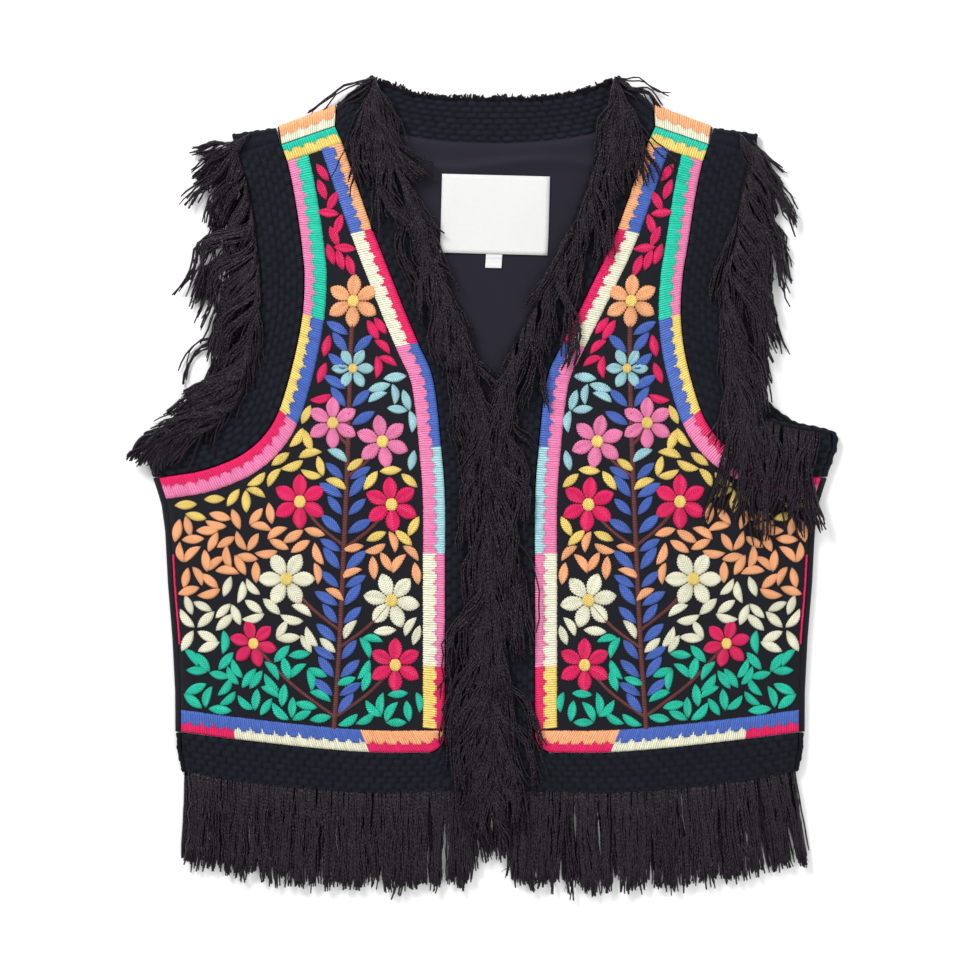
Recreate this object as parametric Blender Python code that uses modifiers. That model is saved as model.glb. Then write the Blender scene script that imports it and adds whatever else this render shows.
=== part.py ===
"""Fringed, embroidered vest, laid flat on its back.

The neck points to +Y, the hem to -Y, and the wearer's left is +X. The sizes below are millimetres, measured out
from the centre line and up from the middle of the vest's height. The back pieces turn over to the front at the
shoulders and at the sides, and the fronts lie on them.
"""
import math
import random
from collections import namedtuple

import bmesh
import bpy
import numpy as np

MM = 0.001
SEAM_GAP = 0.3
MERGE_DISTANCE = 0.0001

# Walls
PANEL_WALL = 2.0
BAND_WALL = 2.6
LINING_WALL = 1.0
LABEL_WALL = 0.6
BORDER_WALL = 0.9

# Heights of the middle of each wall above the surface that the vest lies on
BACK_PANEL_MID = PANEL_WALL / 2
BACK_BAND_MID = BAND_WALL / 2
LINING_MID = PANEL_WALL + SEAM_GAP + LINING_WALL / 2
FRONT_UNDERSIDE = LINING_MID + LINING_WALL / 2 + SEAM_GAP
FRONT_PANEL_MID = FRONT_UNDERSIDE + PANEL_WALL / 2
FRONT_BAND_MID = FRONT_UNDERSIDE + BAND_WALL / 2
LABEL_MID = FRONT_UNDERSIDE + LABEL_WALL / 2
BORDER_LIFT = 0.35
BORDER_MID = FRONT_PANEL_MID + PANEL_WALL / 2 + BORDER_LIFT + BORDER_WALL / 2
BAND_TOP = FRONT_BAND_MID + BAND_WALL / 2

# The turn of the back over to the front
FOLD_RADIUS = (FRONT_PANEL_MID - BACK_PANEL_MID) / 2
FOLD_ARC = math.pi * FOLD_RADIUS
FOLD_STEPS = 4
SIDE_OVERLAP = 1.2

# Widths and reliefs
BAND_WIDTH = 31.0
ARMHOLE_BAND_WIDTH = 32.5
BAND_SOFT_EDGE = 0.8
BORDER_WIDTH = 15.0
SHOULDER_BORDER_WIDTH = 12.0
FRONT_CROWN = 1.6
CROWN_REACH = 70.0

# The shoulders lie a little to the wearer's left of the hem
LEAN = 3.5
LEAN_START = 80.0
LEAN_LENGTH = 100.0

Point = namedtuple("Point", "out up")

# Front edge of a front panel, from the shoulder seam down to its rounded corner
FRONT_EDGE = [
    Point(112.0, 250.0),
    Point(106.5, 237.5),
    Point(85.5, 178.0),
    Point(64.5, 129.0),
    Point(50.0, 97.5),
    Point(39.8, 73.0),
    Point(34.2, 26.0),
    Point(31.5, -12.0),
    Point(31.5, -60.0),
    Point(31.5, -127.0),
    Point(31.5, -168.0),
]
CORNER_RADIUS = 13.0
CORNER_STEPS = 4

# Hem seam of the front and back panels, from the front corner to the side
HEM_SEAM = [
    Point(44.5, -187.0),
    Point(78.0, -187.0),
    Point(120.0, -184.0),
    Point(178.0, -177.5),
    Point(217.0, -172.5),
]

# Lower edge of the hem bands, from the centre to the side
HEM_EDGE = [
    Point(0.0, -213.5),
    Point(31.0, -213.5),
    Point(79.0, -215.0),
    Point(123.0, -212.5),
    Point(175.0, -207.0),
    Point(213.0, -200.0),
]

# Armhole seam of a front panel, from the shoulder towards the side
ARMHOLE = [
    Point(149.0, 237.3),
    Point(145.0, 226.0),
    Point(139.7, 201.0),
    Point(134.0, 163.0),
    Point(131.8, 144.0),
    Point(132.0, 116.5),
    Point(137.0, 86.0),
    Point(147.0, 52.0),
    Point(157.0, 34.7),
    Point(171.0, 22.0),
    Point(186.0, 14.5),
    Point(204.0, 8.8),
]

# Armhole seam of the back panel, cut less deep, from below the shoulder towards the side
BACK_ARMHOLE = [
    Point(147.5, 226.0),
    Point(144.0, 201.0),
    Point(140.5, 163.0),
    Point(139.5, 144.0),
    Point(140.5, 116.5),
    Point(146.0, 86.0),
    Point(157.0, 54.0),
    Point(168.0, 38.5),
    Point(182.0, 25.0),
    Point(202.0, 12.0),
]
UNDERARM_UP = 4.6
UNDERARM_CENTRE_UP = -60.0
UNDERARM_SHARE = 0.28

# Rows of points that pieces share along their common seams
SIDE_ROWS = 8
ARMHOLE_ROWS = 18
NECK_ROWS = 8

# Silhouette of the side, from the bulge of the armhole band down to the hem
SIDE = [
    Point(241.5, 40.0),
    Point(244.0, 31.0),
    Point(243.0, 25.0),
    Point(239.4, 15.0),
    Point(235.4, 4.6),
    Point(229.8, -12.0),
    Point(227.0, -32.0),
    Point(225.0, -70.0),
    Point(222.0, -106.0),
    Point(220.0, -145.0),
    Point(219.8, -184.0),
    Point(216.5, -200.0),
]

# Line over which the back turns to the front at the shoulder
SHOULDER_FOLD = [
    Point(70.0, 299.3),
    Point(86.0, 285.5),
    Point(111.0, 264.0),
    Point(151.5, 248.8),
    Point(183.0, 244.4),
]
NECK_FOLD_OUT = 111.0
FREE_NECK_FOLD_OUT = 86.0
ARMHOLE_FOLD_OUT = 151.5
FREE_ARMHOLE_FOLD_OUT = 183.0
SHOULDER_START = 60.0

# Shoulder seam of the front panel, from the neck to the armhole
NECK_SEAM = FRONT_EDGE[0]
ARMHOLE_SEAM = ARMHOLE[0]

# Back neck seam and the free edge of the back neck band, from the centre towards the shoulder fold
BACK_NECK = [
    Point(0.0, 238.4),
    Point(30.0, 239.5),
    Point(54.0, 242.5),
    Point(75.0, 247.0),
    Point(95.0, 254.0),
]
BACK_NECK_FREE = [
    Point(0.0, 269.8),
    Point(30.0, 270.3),
    Point(54.0, 272.8),
    Point(72.0, 279.0),
]

# Side edge of the lining, which ends under the front bands
LINING_SIDE = [
    Point(16.0, -30.0),
    Point(22.0, 27.0),
    Point(36.0, 80.0),
    Point(56.0, 130.0),
    Point(72.0, 187.0),
    Point(75.0, 246.0),
]

# Label and size tab
LABEL_MIDDLE_UP = 188.5
LABEL_WIDTH = 75.0
LABEL_LENGTH = 55.0
TAB_WIDTH = 11.0
TAB_LENGTH = 9.5

# Fringe: the heading is the strip that holds the roots of the locks
HEADING_WIDTH = 2.4
HEADING_HEIGHT = 1.6
HEADING_INSET = 2.4
ROOT_LENGTH = 4.6
LOCK_PITCH = 18.5
HEM_LOCK_PITCH = 16.0
LOCK_THICKNESS = 1.5
LOCK_TIP_SHARE = 0.4
LOCK_WIDTH_SHARE = 0.6
NARROWEST_LOCK = 3.2
WIDEST_LOCK = 9.5
ROOT_RISE = 1.4
ROOT_RUN = 3.0
FRINGE_SEED = 11

# How a lock of fringe lies: its angle outwards from straight down, its length, and the heights of its middle and tip
Lie = namedtuple("Lie", "degrees length middle tip")

# The front fringe, by height
FRONT_FRINGE = {
    280.0: Lie(0.0, 74.0, 8.3, 7.9),
    140.0: Lie(2.0, 76.0, 8.3, 7.9),
    -10.0: Lie(20.0, 78.0, 8.3, 7.9),
    -215.0: Lie(20.0, 70.0, 8.3, 7.9),
}

# The armhole fringe, by height: it is swept out beside the wearer's right arm, and falls over the panel at the left
RIGHT_ARMHOLE_FRINGE = {
    240.0: Lie(55.0, 46.0, 8.4, 7.0),
    150.0: Lie(45.0, 50.0, 9.0, 8.6),
    118.0: Lie(43.0, 56.0, 11.8, 11.4),
    70.0: Lie(43.0, 72.0, 11.8, 11.4),
    69.0: Lie(6.0, 62.0, 8.6, 8.6),
    36.0: Lie(24.0, 52.0, 8.6, 8.6),
}
LEFT_ARMHOLE_FRINGE = {
    240.0: Lie(45.0, 48.0, 8.4, 7.0),
    150.0: Lie(40.0, 50.0, 9.0, 8.6),
    118.0: Lie(39.0, 54.0, 11.8, 11.4),
    70.0: Lie(39.0, 62.0, 11.8, 11.4),
    69.0: Lie(0.0, 78.0, 8.9, 8.9),
    36.0: Lie(0.0, 74.0, 8.9, 8.9),
}
BACK_ARMHOLE_FRINGE = {
    240.0: Lie(55.0, 38.0, 1.5, 1.2),
    80.0: Lie(50.0, 38.0, 1.5, 1.2),
}
BACK_FRINGE_LOWEST = 85.0

# The hem fringe, by distance from the centre line: the wearer's left flares out
HEM_FRINGE_LENGTH = 76.0
HEM_FRINGE_MIDDLE_SHARE = 0.72
HEM_FRINGE_MIDDLE_WIDTH = 14.0
HEM_FLARE = {1: 12.0, -1: 2.0}
HEM_FLARE_REACH = 215.0

# The neck tufts
TUFT_LENGTH = 6.0
TUFT_PITCH = 13.0
TUFT_REACH = 76.0

# Where the fringes of the front and armhole bands start, over the shoulder
FRONT_FRINGE_START = Point(90.0, 277.0)
ARMHOLE_FRINGE_START = Point(179.5, 238.0)

# Heights of the middle and the tip of a lock of the hem fringe, of the fronts and of the back
FRONT_HEM_HEIGHTS = (4.6, 3.9)
BACK_HEM_HEIGHTS = (1.4, 1.0)

# Shares of the width of a band at which its columns run
BAND_SHARES = (0.0, 0.5, 1.0)
ARMHOLE_BAND_SHARES = (0.0, 0.33, 0.67, 1.0)

# Colour and roughness of each cloth
Finish = namedtuple("Finish", "red green blue roughness")
FINISHES = {
    "wool_ground": Finish(0.016, 0.017, 0.023, 0.9),
    "knit_band": Finish(0.011, 0.013, 0.020, 0.95),
    "lining": Finish(0.023, 0.023, 0.037, 0.55),
    "label": Finish(0.88, 0.88, 0.86, 0.6),
    "embroidery": Finish(0.80, 0.12, 0.28, 0.75),
    "fringe": Finish(0.018, 0.012, 0.014, 0.7),
}

PARTS = "fringed_vest"
SIDES = {"right": -1, "left": 1}


def clear_scene():
    """Remove the objects that the scene starts with."""
    for item in list(bpy.data.objects):
        bpy.data.objects.remove(item, do_unlink=True)


def parts_collection():
    """Return the collection that holds the vest, made on the first call."""
    if PARTS not in bpy.data.collections:
        bpy.context.scene.collection.children.link(bpy.data.collections.new(PARTS))
    return bpy.data.collections[PARTS]


def finish(name):
    """Return the material of the named cloth."""
    if name in bpy.data.materials:
        return bpy.data.materials[name]
    look = FINISHES[name]
    material = bpy.data.materials.new(name)
    material.use_nodes = True
    shader = material.node_tree.nodes["Principled BSDF"]
    shader.inputs["Base Color"].default_value = (look.red, look.green, look.blue, 1.0)
    shader.inputs["Roughness"].default_value = look.roughness
    shader.inputs["Metallic"].default_value = 0.0
    return material


# Curves in the plane of the vest

def smooth_step(value):
    """Return 0 below 0, 1 above 1, and a smooth rise between."""
    share = np.clip(value, 0.0, 1.0)
    return share * share * (3.0 - 2.0 * share)


def lengths_along(points):
    """Return the distance of each point of a polyline from its start, measured along it."""
    return np.concatenate([[0.0], np.cumsum(np.hypot(*np.diff(points, axis=0).T))])


def at_lengths(points, wanted):
    """Return the points of a polyline at the wanted distances along it."""
    length = lengths_along(points)
    return np.column_stack([np.interp(wanted, length, points[:, axis]) for axis in (0, 1)])


def resample(points, count):
    """Return count points, evenly spaced along the given polyline."""
    points = np.asarray(points, dtype=float)
    return at_lengths(points, np.linspace(0.0, lengths_along(points)[-1], count))


def curve_through(points, count, finer=16):
    """Return count evenly spaced points on a smooth curve through the given points."""
    knots = np.asarray(points, dtype=float)
    knots = np.vstack([2 * knots[0] - knots[1], knots, 2 * knots[-1] - knots[-2]])
    dense = []
    for a, b, c, d in zip(knots, knots[1:], knots[2:], knots[3:]):
        for t in np.arange(finer) / finer:
            bend = (2 * a - 5 * b + 4 * c - d) * t ** 2 + (3 * b - a - 3 * c + d) * t ** 3
            dense.append(0.5 * (2 * b + (c - a) * t + bend))
    dense.append(knots[-2])
    return resample(dense, count)


def tangents(points):
    """Return the unit direction of a polyline at each of its points."""
    direction = np.gradient(np.asarray(points, dtype=float), axis=0)
    return direction / np.hypot(direction[:, 0], direction[:, 1])[:, None]


def offset(points, distance):
    """Return a polyline moved by distance to the left of its direction."""
    ahead = tangents(points)
    return np.asarray(points, dtype=float) + distance * np.column_stack([-ahead[:, 1], ahead[:, 0]])


def rounded_corner():
    """Return the lower front corner of a front panel, an arc from its front edge to its hem seam."""
    middle = np.array([FRONT_EDGE[-1].out + CORNER_RADIUS, HEM_SEAM[0].up + CORNER_RADIUS])
    angles = np.radians(np.linspace(180.0, 270.0, 2 * CORNER_STEPS + 1))
    return middle + CORNER_RADIUS * np.column_stack([np.cos(angles), np.sin(angles)])


def slanted_reach(knots, values, where):
    """Return how far a fold reaches beyond its turning line, which is more where the fold runs slanted."""
    slopes = np.diff(values) / np.diff(knots)
    segment = np.clip(np.searchsorted(knots, where, side="right") - 1, 0, len(slopes) - 1)
    return FOLD_RADIUS * np.hypot(1.0, slopes[segment])


SIDE_HEIGHTS = np.array([point.up for point in reversed(SIDE)])
SIDE_REACHES = np.array([point.out for point in reversed(SIDE)])
SHOULDER_OUTS = np.array([point.out for point in SHOULDER_FOLD])
SHOULDER_HEIGHTS = np.array([point.up for point in SHOULDER_FOLD])


def side_turn(up, wall):
    """Return how far out the back starts to turn over at a height of the side."""
    silhouette = np.interp(up, SIDE_HEIGHTS, SIDE_REACHES)
    return silhouette - wall / 2 - slanted_reach(SIDE_HEIGHTS, SIDE_REACHES, up)


def front_side(up, wall):
    """Return how far out a front piece reaches at a height of the side."""
    return side_turn(up, wall) - SIDE_OVERLAP - SEAM_GAP


def shoulder_turn(out):
    """Return the height at which the back starts to turn over at the shoulder."""
    fold = np.interp(out, SHOULDER_OUTS, SHOULDER_HEIGHTS)
    return fold - slanted_reach(SHOULDER_OUTS, SHOULDER_HEIGHTS, out)


def turned(past, reach, mid):
    """Return how far beyond its turning line a point lies, and its height, on or after the half round."""
    if past <= FOLD_ARC:
        angle = past / FOLD_RADIUS
        return reach * math.sin(angle), mid + FOLD_RADIUS * (1.0 - math.cos(angle))
    return FOLD_ARC - past, mid + 2.0 * FOLD_RADIUS


def folded_back(out, up, mid, wall):
    """Return the place of a point of the unfolded back, turned over at the shoulder or at the side."""
    over_shoulder = up - shoulder_turn(out)
    over_side = out - side_turn(up, wall)
    if over_shoulder > 0 and out > SHOULDER_START:
        reach = slanted_reach(SHOULDER_OUTS, SHOULDER_HEIGHTS, out)
        past, height = turned(over_shoulder, reach, mid)
        return np.array([out, shoulder_turn(out) + past, height])
    if over_side > 0:
        reach = slanted_reach(SIDE_HEIGHTS, SIDE_REACHES, up)
        past, height = turned(over_side, reach, mid)
        return np.array([side_turn(up, wall) + past, up, height])
    return np.array([out, up, mid])


# Walls of cloth

def lay_down(bm):
    """Let the shoulders lie to one side, and turn millimetres into metres."""
    for vert in bm.verts:
        vert.co.x += LEAN * float(smooth_step((vert.co.y - LEAN_START) / LEAN_LENGTH))
        vert.co *= MM


def add_object(name, bm, material):
    """Make an object of the laid mesh, in the vest's collection and with its material."""
    lay_down(bm)
    bmesh.ops.recalc_face_normals(bm, faces=bm.faces)
    mesh = bpy.data.meshes.new(name)
    bm.to_mesh(mesh)
    bm.free()
    mesh.materials.append(finish(material))
    item = bpy.data.objects.new(name, mesh)
    parts_collection().objects.link(item)
    return item


def add_patch(bm, rows, side):
    """Add a grid of faces through rows of places."""
    last_row = len(rows) - 1
    last_column = len(rows[0]) - 1
    grid = bmesh.ops.create_grid(bm, x_segments=last_column, y_segments=last_row, size=0.5)
    for vert in grid["verts"]:
        place = rows[round((vert.co.y + 0.5) * last_row)][round((vert.co.x + 0.5) * last_column)]
        vert.co = (side * place[0], place[1], place[2])


def cloth(name, patches, wall, material, side=1, both_sides=False, soft_edge=0.0):
    """Make a wall of cloth from patches, each of them rows of places, thickened evenly to both sides."""
    bm = bmesh.new()
    for rows in patches:
        add_patch(bm, rows, side)
    bmesh.ops.remove_doubles(bm, verts=bm.verts, dist=MERGE_DISTANCE)
    if both_sides:
        geometry = bm.verts[:] + bm.edges[:] + bm.faces[:]
        bmesh.ops.mirror(bm, geom=geometry, axis="X", merge_dist=MERGE_DISTANCE)
    item = add_object(name, bm, material)
    solid = item.modifiers.new("wall", "SOLIDIFY")
    solid.thickness = wall * MM
    solid.offset = 0.0
    solid.use_even_offset = True
    if soft_edge:
        edge = item.modifiers.new("soft_edge", "BEVEL")
        edge.width = soft_edge * MM
        edge.segments = 1
        edge.limit_method = "ANGLE"
        edge.angle_limit = math.radians(65.0)
    return item


def rows_between(first, second, shares):
    """Return a row of points for each pair of points of two edges, spread as the shares say."""
    return [[a + (b - a) * share for share in shares] for a, b in zip(first, second)]


def bent_rows(left, right, bottom, top, shares):
    """Return rows from a left to a right edge, the first bent to the bottom edge and the last to the top one."""
    rows = rows_between(left, right, shares)
    lower = at_lengths(bottom, np.array(shares) * lengths_along(bottom)[-1]) - rows[0]
    upper = at_lengths(top, np.array(shares) * lengths_along(top)[-1]) - rows[-1]
    last = len(rows) - 1
    return [[point + lower[index] * (1 - row / last) ** 3 + upper[index] * (row / last) ** 3
             for index, point in enumerate(line)] for row, line in enumerate(rows)]


def flat_rows(rows, height):
    """Return rows of places, all at one height."""
    return [[(point[0], point[1], height) for point in row] for row in rows]


# Front panels

def front_edge(count):
    """Return the front edge of a front panel, from the middle of its corner up to the shoulder seam."""
    line = curve_through(FRONT_EDGE, count * 4)
    return resample(np.vstack([line, rounded_corner()[1:CORNER_STEPS + 1]])[::-1], count)


def front_edge_rows():
    """Return the points where the rows of a front panel start on its front edge, from its corner up."""
    whole = front_edge(200)
    lower = np.linspace(0.0, UNDERARM_SHARE, SIDE_ROWS)[:-1]
    upper = np.linspace(UNDERARM_SHARE, 1.0, ARMHOLE_ROWS)
    return at_lengths(whole, np.concatenate([lower, upper]) * lengths_along(whole)[-1])


def panel_side(count):
    """Return the side edge of a front panel, from the hem up to the armhole."""
    heights = np.linspace(HEM_SEAM[-1].up, UNDERARM_UP, count)
    return np.column_stack([front_side(heights, PANEL_WALL), heights])


def front_armhole(count):
    """Return the armhole seam of a front panel, from the side up to the shoulder."""
    end = Point(front_side(UNDERARM_UP, PANEL_WALL), UNDERARM_UP)
    return curve_through(ARMHOLE + [end], count)[::-1]


def hem_seam(count):
    """Return the hem seam of a front panel, from the middle of its corner to the side."""
    end = Point(front_side(HEM_SEAM[-1].up, PANEL_WALL), HEM_SEAM[-1].up)
    line = curve_through(HEM_SEAM[:-1] + [end], count * 4)
    return resample(np.vstack([rounded_corner()[CORNER_STEPS:-1], line]), count)


def panel_outline():
    """Return the closed outline of a front panel."""
    return np.vstack([hem_seam(24), panel_side(16), front_armhole(40), front_edge(50)[::-1]])


def crown(point, outline):
    """Return how high a front panel rises above its edges at a point."""
    along = np.roll(outline, -1, axis=0) - outline
    square = np.maximum((along ** 2).sum(axis=1), 1e-9)
    share = np.clip(((point - outline) * along).sum(axis=1) / square, 0.0, 1.0)
    nearest = outline + share[:, None] * along
    distance = np.hypot(*(point - nearest).T).min()
    return FRONT_CROWN * float(smooth_step(distance / CROWN_REACH))


def crowned_rows(rows, height):
    """Return rows of places that follow the crown of a front panel."""
    outline = panel_outline()
    return [[(point[0], point[1], height + crown(np.asarray(point), outline)) for point in row] for row in rows]


def make_front_panel(name, side):
    """Make one front panel, slightly crowned."""
    right = np.vstack([panel_side(SIDE_ROWS)[:-1], front_armhole(ARMHOLE_ROWS)])
    top = np.array([NECK_SEAM, ARMHOLE_SEAM])
    rows = bent_rows(front_edge_rows(), right, hem_seam(60), top, np.linspace(0.0, 1.0, 10))
    return cloth(name, [crowned_rows(rows, FRONT_PANEL_MID)], PANEL_WALL, "wool_ground", side)


def below_shoulder(line, depth):
    """Return the part of a line, run from the shoulder down, that lies deeper than depth below the seam."""
    along = np.subtract(ARMHOLE_SEAM, NECK_SEAM)
    along = along / np.hypot(*along)
    deep = (line - np.array(NECK_SEAM)) @ np.array([along[1], -along[0]]) - depth
    first = int(np.argmax(deep > 0))
    share = -deep[first - 1] / (deep[first] - deep[first - 1])
    crossing = line[first - 1] + share * (line[first] - line[first - 1])
    return np.vstack([crossing, line[first:]])


def make_border(name, side):
    """Make the raised embroidery round a front panel, from the side over the shoulder to the hem."""
    armhole_outer = front_armhole(200)[::-1]
    armhole_inner = below_shoulder(offset(armhole_outer, -BORDER_WIDTH), SHOULDER_BORDER_WIDTH)
    corner = Point(FRONT_EDGE[-1].out + BORDER_WIDTH, HEM_SEAM[0].up + BORDER_WIDTH)
    front_outer = front_edge(200)[::-1]
    front_straight = front_outer[front_outer[:, 1] > corner.up + CORNER_RADIUS]
    front_inner = below_shoulder(offset(front_straight, BORDER_WIDTH), SHOULDER_BORDER_WIDTH)
    front_inner = np.vstack([front_inner, corner])
    hem_outer = hem_seam(60)
    hem_inner = hem_outer + np.array([0.0, BORDER_WIDTH])
    hem_inner = np.vstack([corner, hem_inner[hem_inner[:, 0] > corner.out + CORNER_RADIUS]])
    runs = [
        (armhole_outer[::-1], armhole_inner[::-1], 26),
        (np.array([ARMHOLE_SEAM, NECK_SEAM]), np.array([armhole_inner[0], front_inner[0]]), 4),
        (front_outer, front_inner, 30),
        (hem_outer, hem_inner, 12),
    ]
    outer = np.vstack([resample(run[0], run[2])[:-1] for run in runs] + [hem_outer[-1:]])
    inner = np.vstack([resample(run[1], run[2])[:-1] for run in runs] + [hem_inner[-1:]])
    below_arm = inner[:, 1] < UNDERARM_UP
    inner[below_arm, 0] = np.minimum(inner[below_arm, 0], front_side(inner[below_arm, 1], PANEL_WALL))
    rows = crowned_rows(rows_between(outer, inner, [0.0, 1.0]), BORDER_MID)
    return cloth(name, [rows], BORDER_WALL, "embroidery", side)


# Bands of the fronts

def front_band_edges():
    """Return the seam edge and the free edge of a front band, from the hem up to the shoulder seam."""
    straight = FRONT_EDGE[-1]
    beside_hem = [Point(straight.out, up) for up in np.linspace(HEM_EDGE[1].up, straight.up, 4)]
    rows = front_edge_rows()
    seam = offset(np.vstack([beside_hem, rows[rows[:, 1] > straight.up + CORNER_RADIUS]]), SEAM_GAP)
    free = offset(seam, BAND_WIDTH)
    free[:, 0] = np.maximum(free[:, 0], SEAM_GAP)
    return seam, free


def make_front_band(name, side):
    """Make the band along one neck and front edge."""
    rows = rows_between(*front_band_edges(), BAND_SHARES)
    return cloth(name, [flat_rows(rows, FRONT_BAND_MID)], BAND_WALL, "knit_band", side, soft_edge=BAND_SOFT_EDGE)


def bulged_to_side(rows, reach, near=5):
    """Return the rows of an armhole band with its last ones widened to meet the bulging side."""
    for step in range(near):
        row = rows[len(rows) - near + step]
        for index, point in enumerate(row):
            share = 1.0 if step == near - 1 else ((step + 1) / near) ** 2 * index / (len(row) - 1)
            row[index] = point + np.array([share * (reach(point[1]) - point[0]), 0.0])
    return rows


def armhole_band_edges(count):
    """Return the seam edge and the free edge of a front armhole band, from the shoulder to the side."""
    seam = offset(front_armhole(count)[::-1], SEAM_GAP)
    return seam, offset(seam, ARMHOLE_BAND_WIDTH)


def make_front_armhole_band(name, side):
    """Make the front half of one armhole band, which bulges at the side."""
    rows = rows_between(*armhole_band_edges(ARMHOLE_ROWS), ARMHOLE_BAND_SHARES)
    rows = bulged_to_side(rows, lambda up: front_side(up, BAND_WALL))
    return cloth(name, [flat_rows(rows, FRONT_BAND_MID)], BAND_WALL, "knit_band", side, soft_edge=BAND_SOFT_EDGE)


def make_front_hem_band(name, side):
    """Make the hem band of one front, from the front band to the side."""
    start = FRONT_EDGE[-1].out + SEAM_GAP
    seam = offset(np.vstack([rounded_corner()[2:-1], curve_through(HEM_SEAM, 10)]), -SEAM_GAP)
    edge = curve_through(HEM_EDGE, 60)
    lower = np.column_stack([seam[:, 0], np.interp(seam[:, 0], edge[:, 0], edge[:, 1])])
    rows = rows_between(seam, lower, BAND_SHARES)
    rows[0] = [np.array([start, point[1]]) for point in rows[0]]
    rows[-1] = [np.array([front_side(point[1], BAND_WALL), point[1]]) for point in rows[-1]]
    return cloth(name, [flat_rows(rows, FRONT_BAND_MID)], BAND_WALL, "knit_band", side, soft_edge=BAND_SOFT_EDGE)


# The back, drawn unfolded and then turned over

FOLD_SHARES = np.linspace(0.0, FOLD_ARC, FOLD_STEPS + 1)
SIDE_SHARES = np.append(FOLD_SHARES, FOLD_ARC + SIDE_OVERLAP)


def rows_over_shoulder(row, neck_end, armhole_end):
    """Return the rows that carry on from one at the shoulder's turn to the seam between two ends on the front."""
    over = [[np.array([point[0], shoulder_turn(point[0]) + past]) for point in row] for past in FOLD_SHARES[1:]]
    width = row[-1][0] - row[0][0]
    seam = []
    for point in row:
        share = (point[0] - row[0][0]) / width
        out, up = neck_end + share * (armhole_end - neck_end)
        up += SEAM_GAP
        seam.append(np.array([out, 2 * shoulder_turn(out) + FOLD_ARC - up]))
    return over + [seam]


def rows_over_side(row, wall):
    """Return the rows that carry on from one at the side's turn to the seam on the front."""
    return [[np.array([side_turn(point[1], wall) + past, point[1]]) for point in row] for past in SIDE_SHARES[1:]]


def folded_rows(rows, mid, wall):
    """Return rows of places for rows of points of the unfolded back."""
    return [[folded_back(point[0], point[1], mid, wall) for point in row] for row in rows]


def back_armhole():
    """Return the armhole seam of the back panel, from the shoulder's turn to the side's turn."""
    shoulder_end = Point(ARMHOLE_FOLD_OUT, shoulder_turn(ARMHOLE_FOLD_OUT))
    side_end = Point(side_turn(UNDERARM_UP, PANEL_WALL), UNDERARM_UP)
    return curve_through([shoulder_end] + BACK_ARMHOLE + [side_end], ARMHOLE_ROWS)


def back_neck():
    """Return the neck seam of the back panel, from the centre to the shoulder's turn."""
    return curve_through(BACK_NECK + [Point(NECK_FOLD_OUT, shoulder_turn(NECK_FOLD_OUT))], NECK_ROWS)


def back_neck_free():
    """Return the free edge of the back neck band, from the centre to the shoulder's turn."""
    end = Point(FREE_NECK_FOLD_OUT, shoulder_turn(FREE_NECK_FOLD_OUT))
    return curve_through(BACK_NECK_FREE + [end], NECK_ROWS)


def make_back_panel(name):
    """Make the back panel, one half mirrored over the centre line."""
    centre_low = Point(0.0, HEM_SEAM[0].up - 1.0)
    heights = np.linspace(HEM_SEAM[-1].up, UNDERARM_UP, SIDE_ROWS)
    side_line = np.column_stack([side_turn(heights, PANEL_WALL), heights])
    right = np.vstack([side_line, back_armhole()[::-1][1:]])
    lower = np.linspace(centre_low.up, UNDERARM_CENTRE_UP, SIDE_ROWS)
    upper = np.linspace(UNDERARM_CENTRE_UP, BACK_NECK[0].up, ARMHOLE_ROWS - NECK_ROWS + 1)[1:-1]
    centre = np.concatenate([lower, upper])
    left = np.vstack([np.column_stack([np.zeros(len(centre)), centre]), back_neck()])
    hem = curve_through([centre_low] + HEM_SEAM[:-1] + [Point(*side_line[0])], 60)
    rows = bent_rows(left, right, hem, np.array([left[-1], right[-1]]), np.linspace(0.0, 1.0, 6))
    top = [np.array([point[0], shoulder_turn(point[0])]) for point in rows[-1]]
    rows = rows[:-1] + [top] + rows_over_shoulder(top, np.array(NECK_SEAM), np.array(ARMHOLE_SEAM))
    over_side = [side_line] + rows_over_side(side_line, PANEL_WALL)
    patches = [folded_rows(patch, BACK_PANEL_MID, PANEL_WALL) for patch in (rows, over_side)]
    return cloth(name, patches, PANEL_WALL, "wool_ground", both_sides=True)


def make_back_neck_band(name):
    """Make the band along the back neck, which goes over both shoulders, one half mirrored."""
    gap_inwards = np.array([SEAM_GAP, 0.0])
    seam = offset(back_neck(), SEAM_GAP)
    seam[0, 0] = 0.0
    rows = rows_between(seam, back_neck_free(), BAND_SHARES)
    across = np.linspace(NECK_FOLD_OUT - 2 * SEAM_GAP, FREE_NECK_FOLD_OUT, 3)
    top = [np.array([out, shoulder_turn(out)]) for out in across]
    front_seam, front_free = front_band_edges()
    rows = rows[:-1] + [top] + rows_over_shoulder(top, front_seam[-1] - gap_inwards, front_free[-1])
    places = folded_rows(rows, BACK_BAND_MID, BAND_WALL)
    return cloth(name, [places], BAND_WALL, "knit_band", both_sides=True, soft_edge=BAND_SOFT_EDGE)


def back_armhole_band_rows():
    """Return the rows of a back armhole band between its two turns, from the shoulder to the side."""
    seam = offset(back_armhole(), SEAM_GAP)
    rows = rows_between(seam, offset(seam, ARMHOLE_BAND_WIDTH), ARMHOLE_BAND_SHARES)
    rows = bulged_to_side(rows, lambda up: side_turn(up, BAND_WALL))
    across = np.linspace(ARMHOLE_FOLD_OUT + 2 * SEAM_GAP, FREE_ARMHOLE_FOLD_OUT, len(ARMHOLE_BAND_SHARES))
    rows[0] = [np.array([out, shoulder_turn(out)]) for out in across]
    return rows


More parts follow.
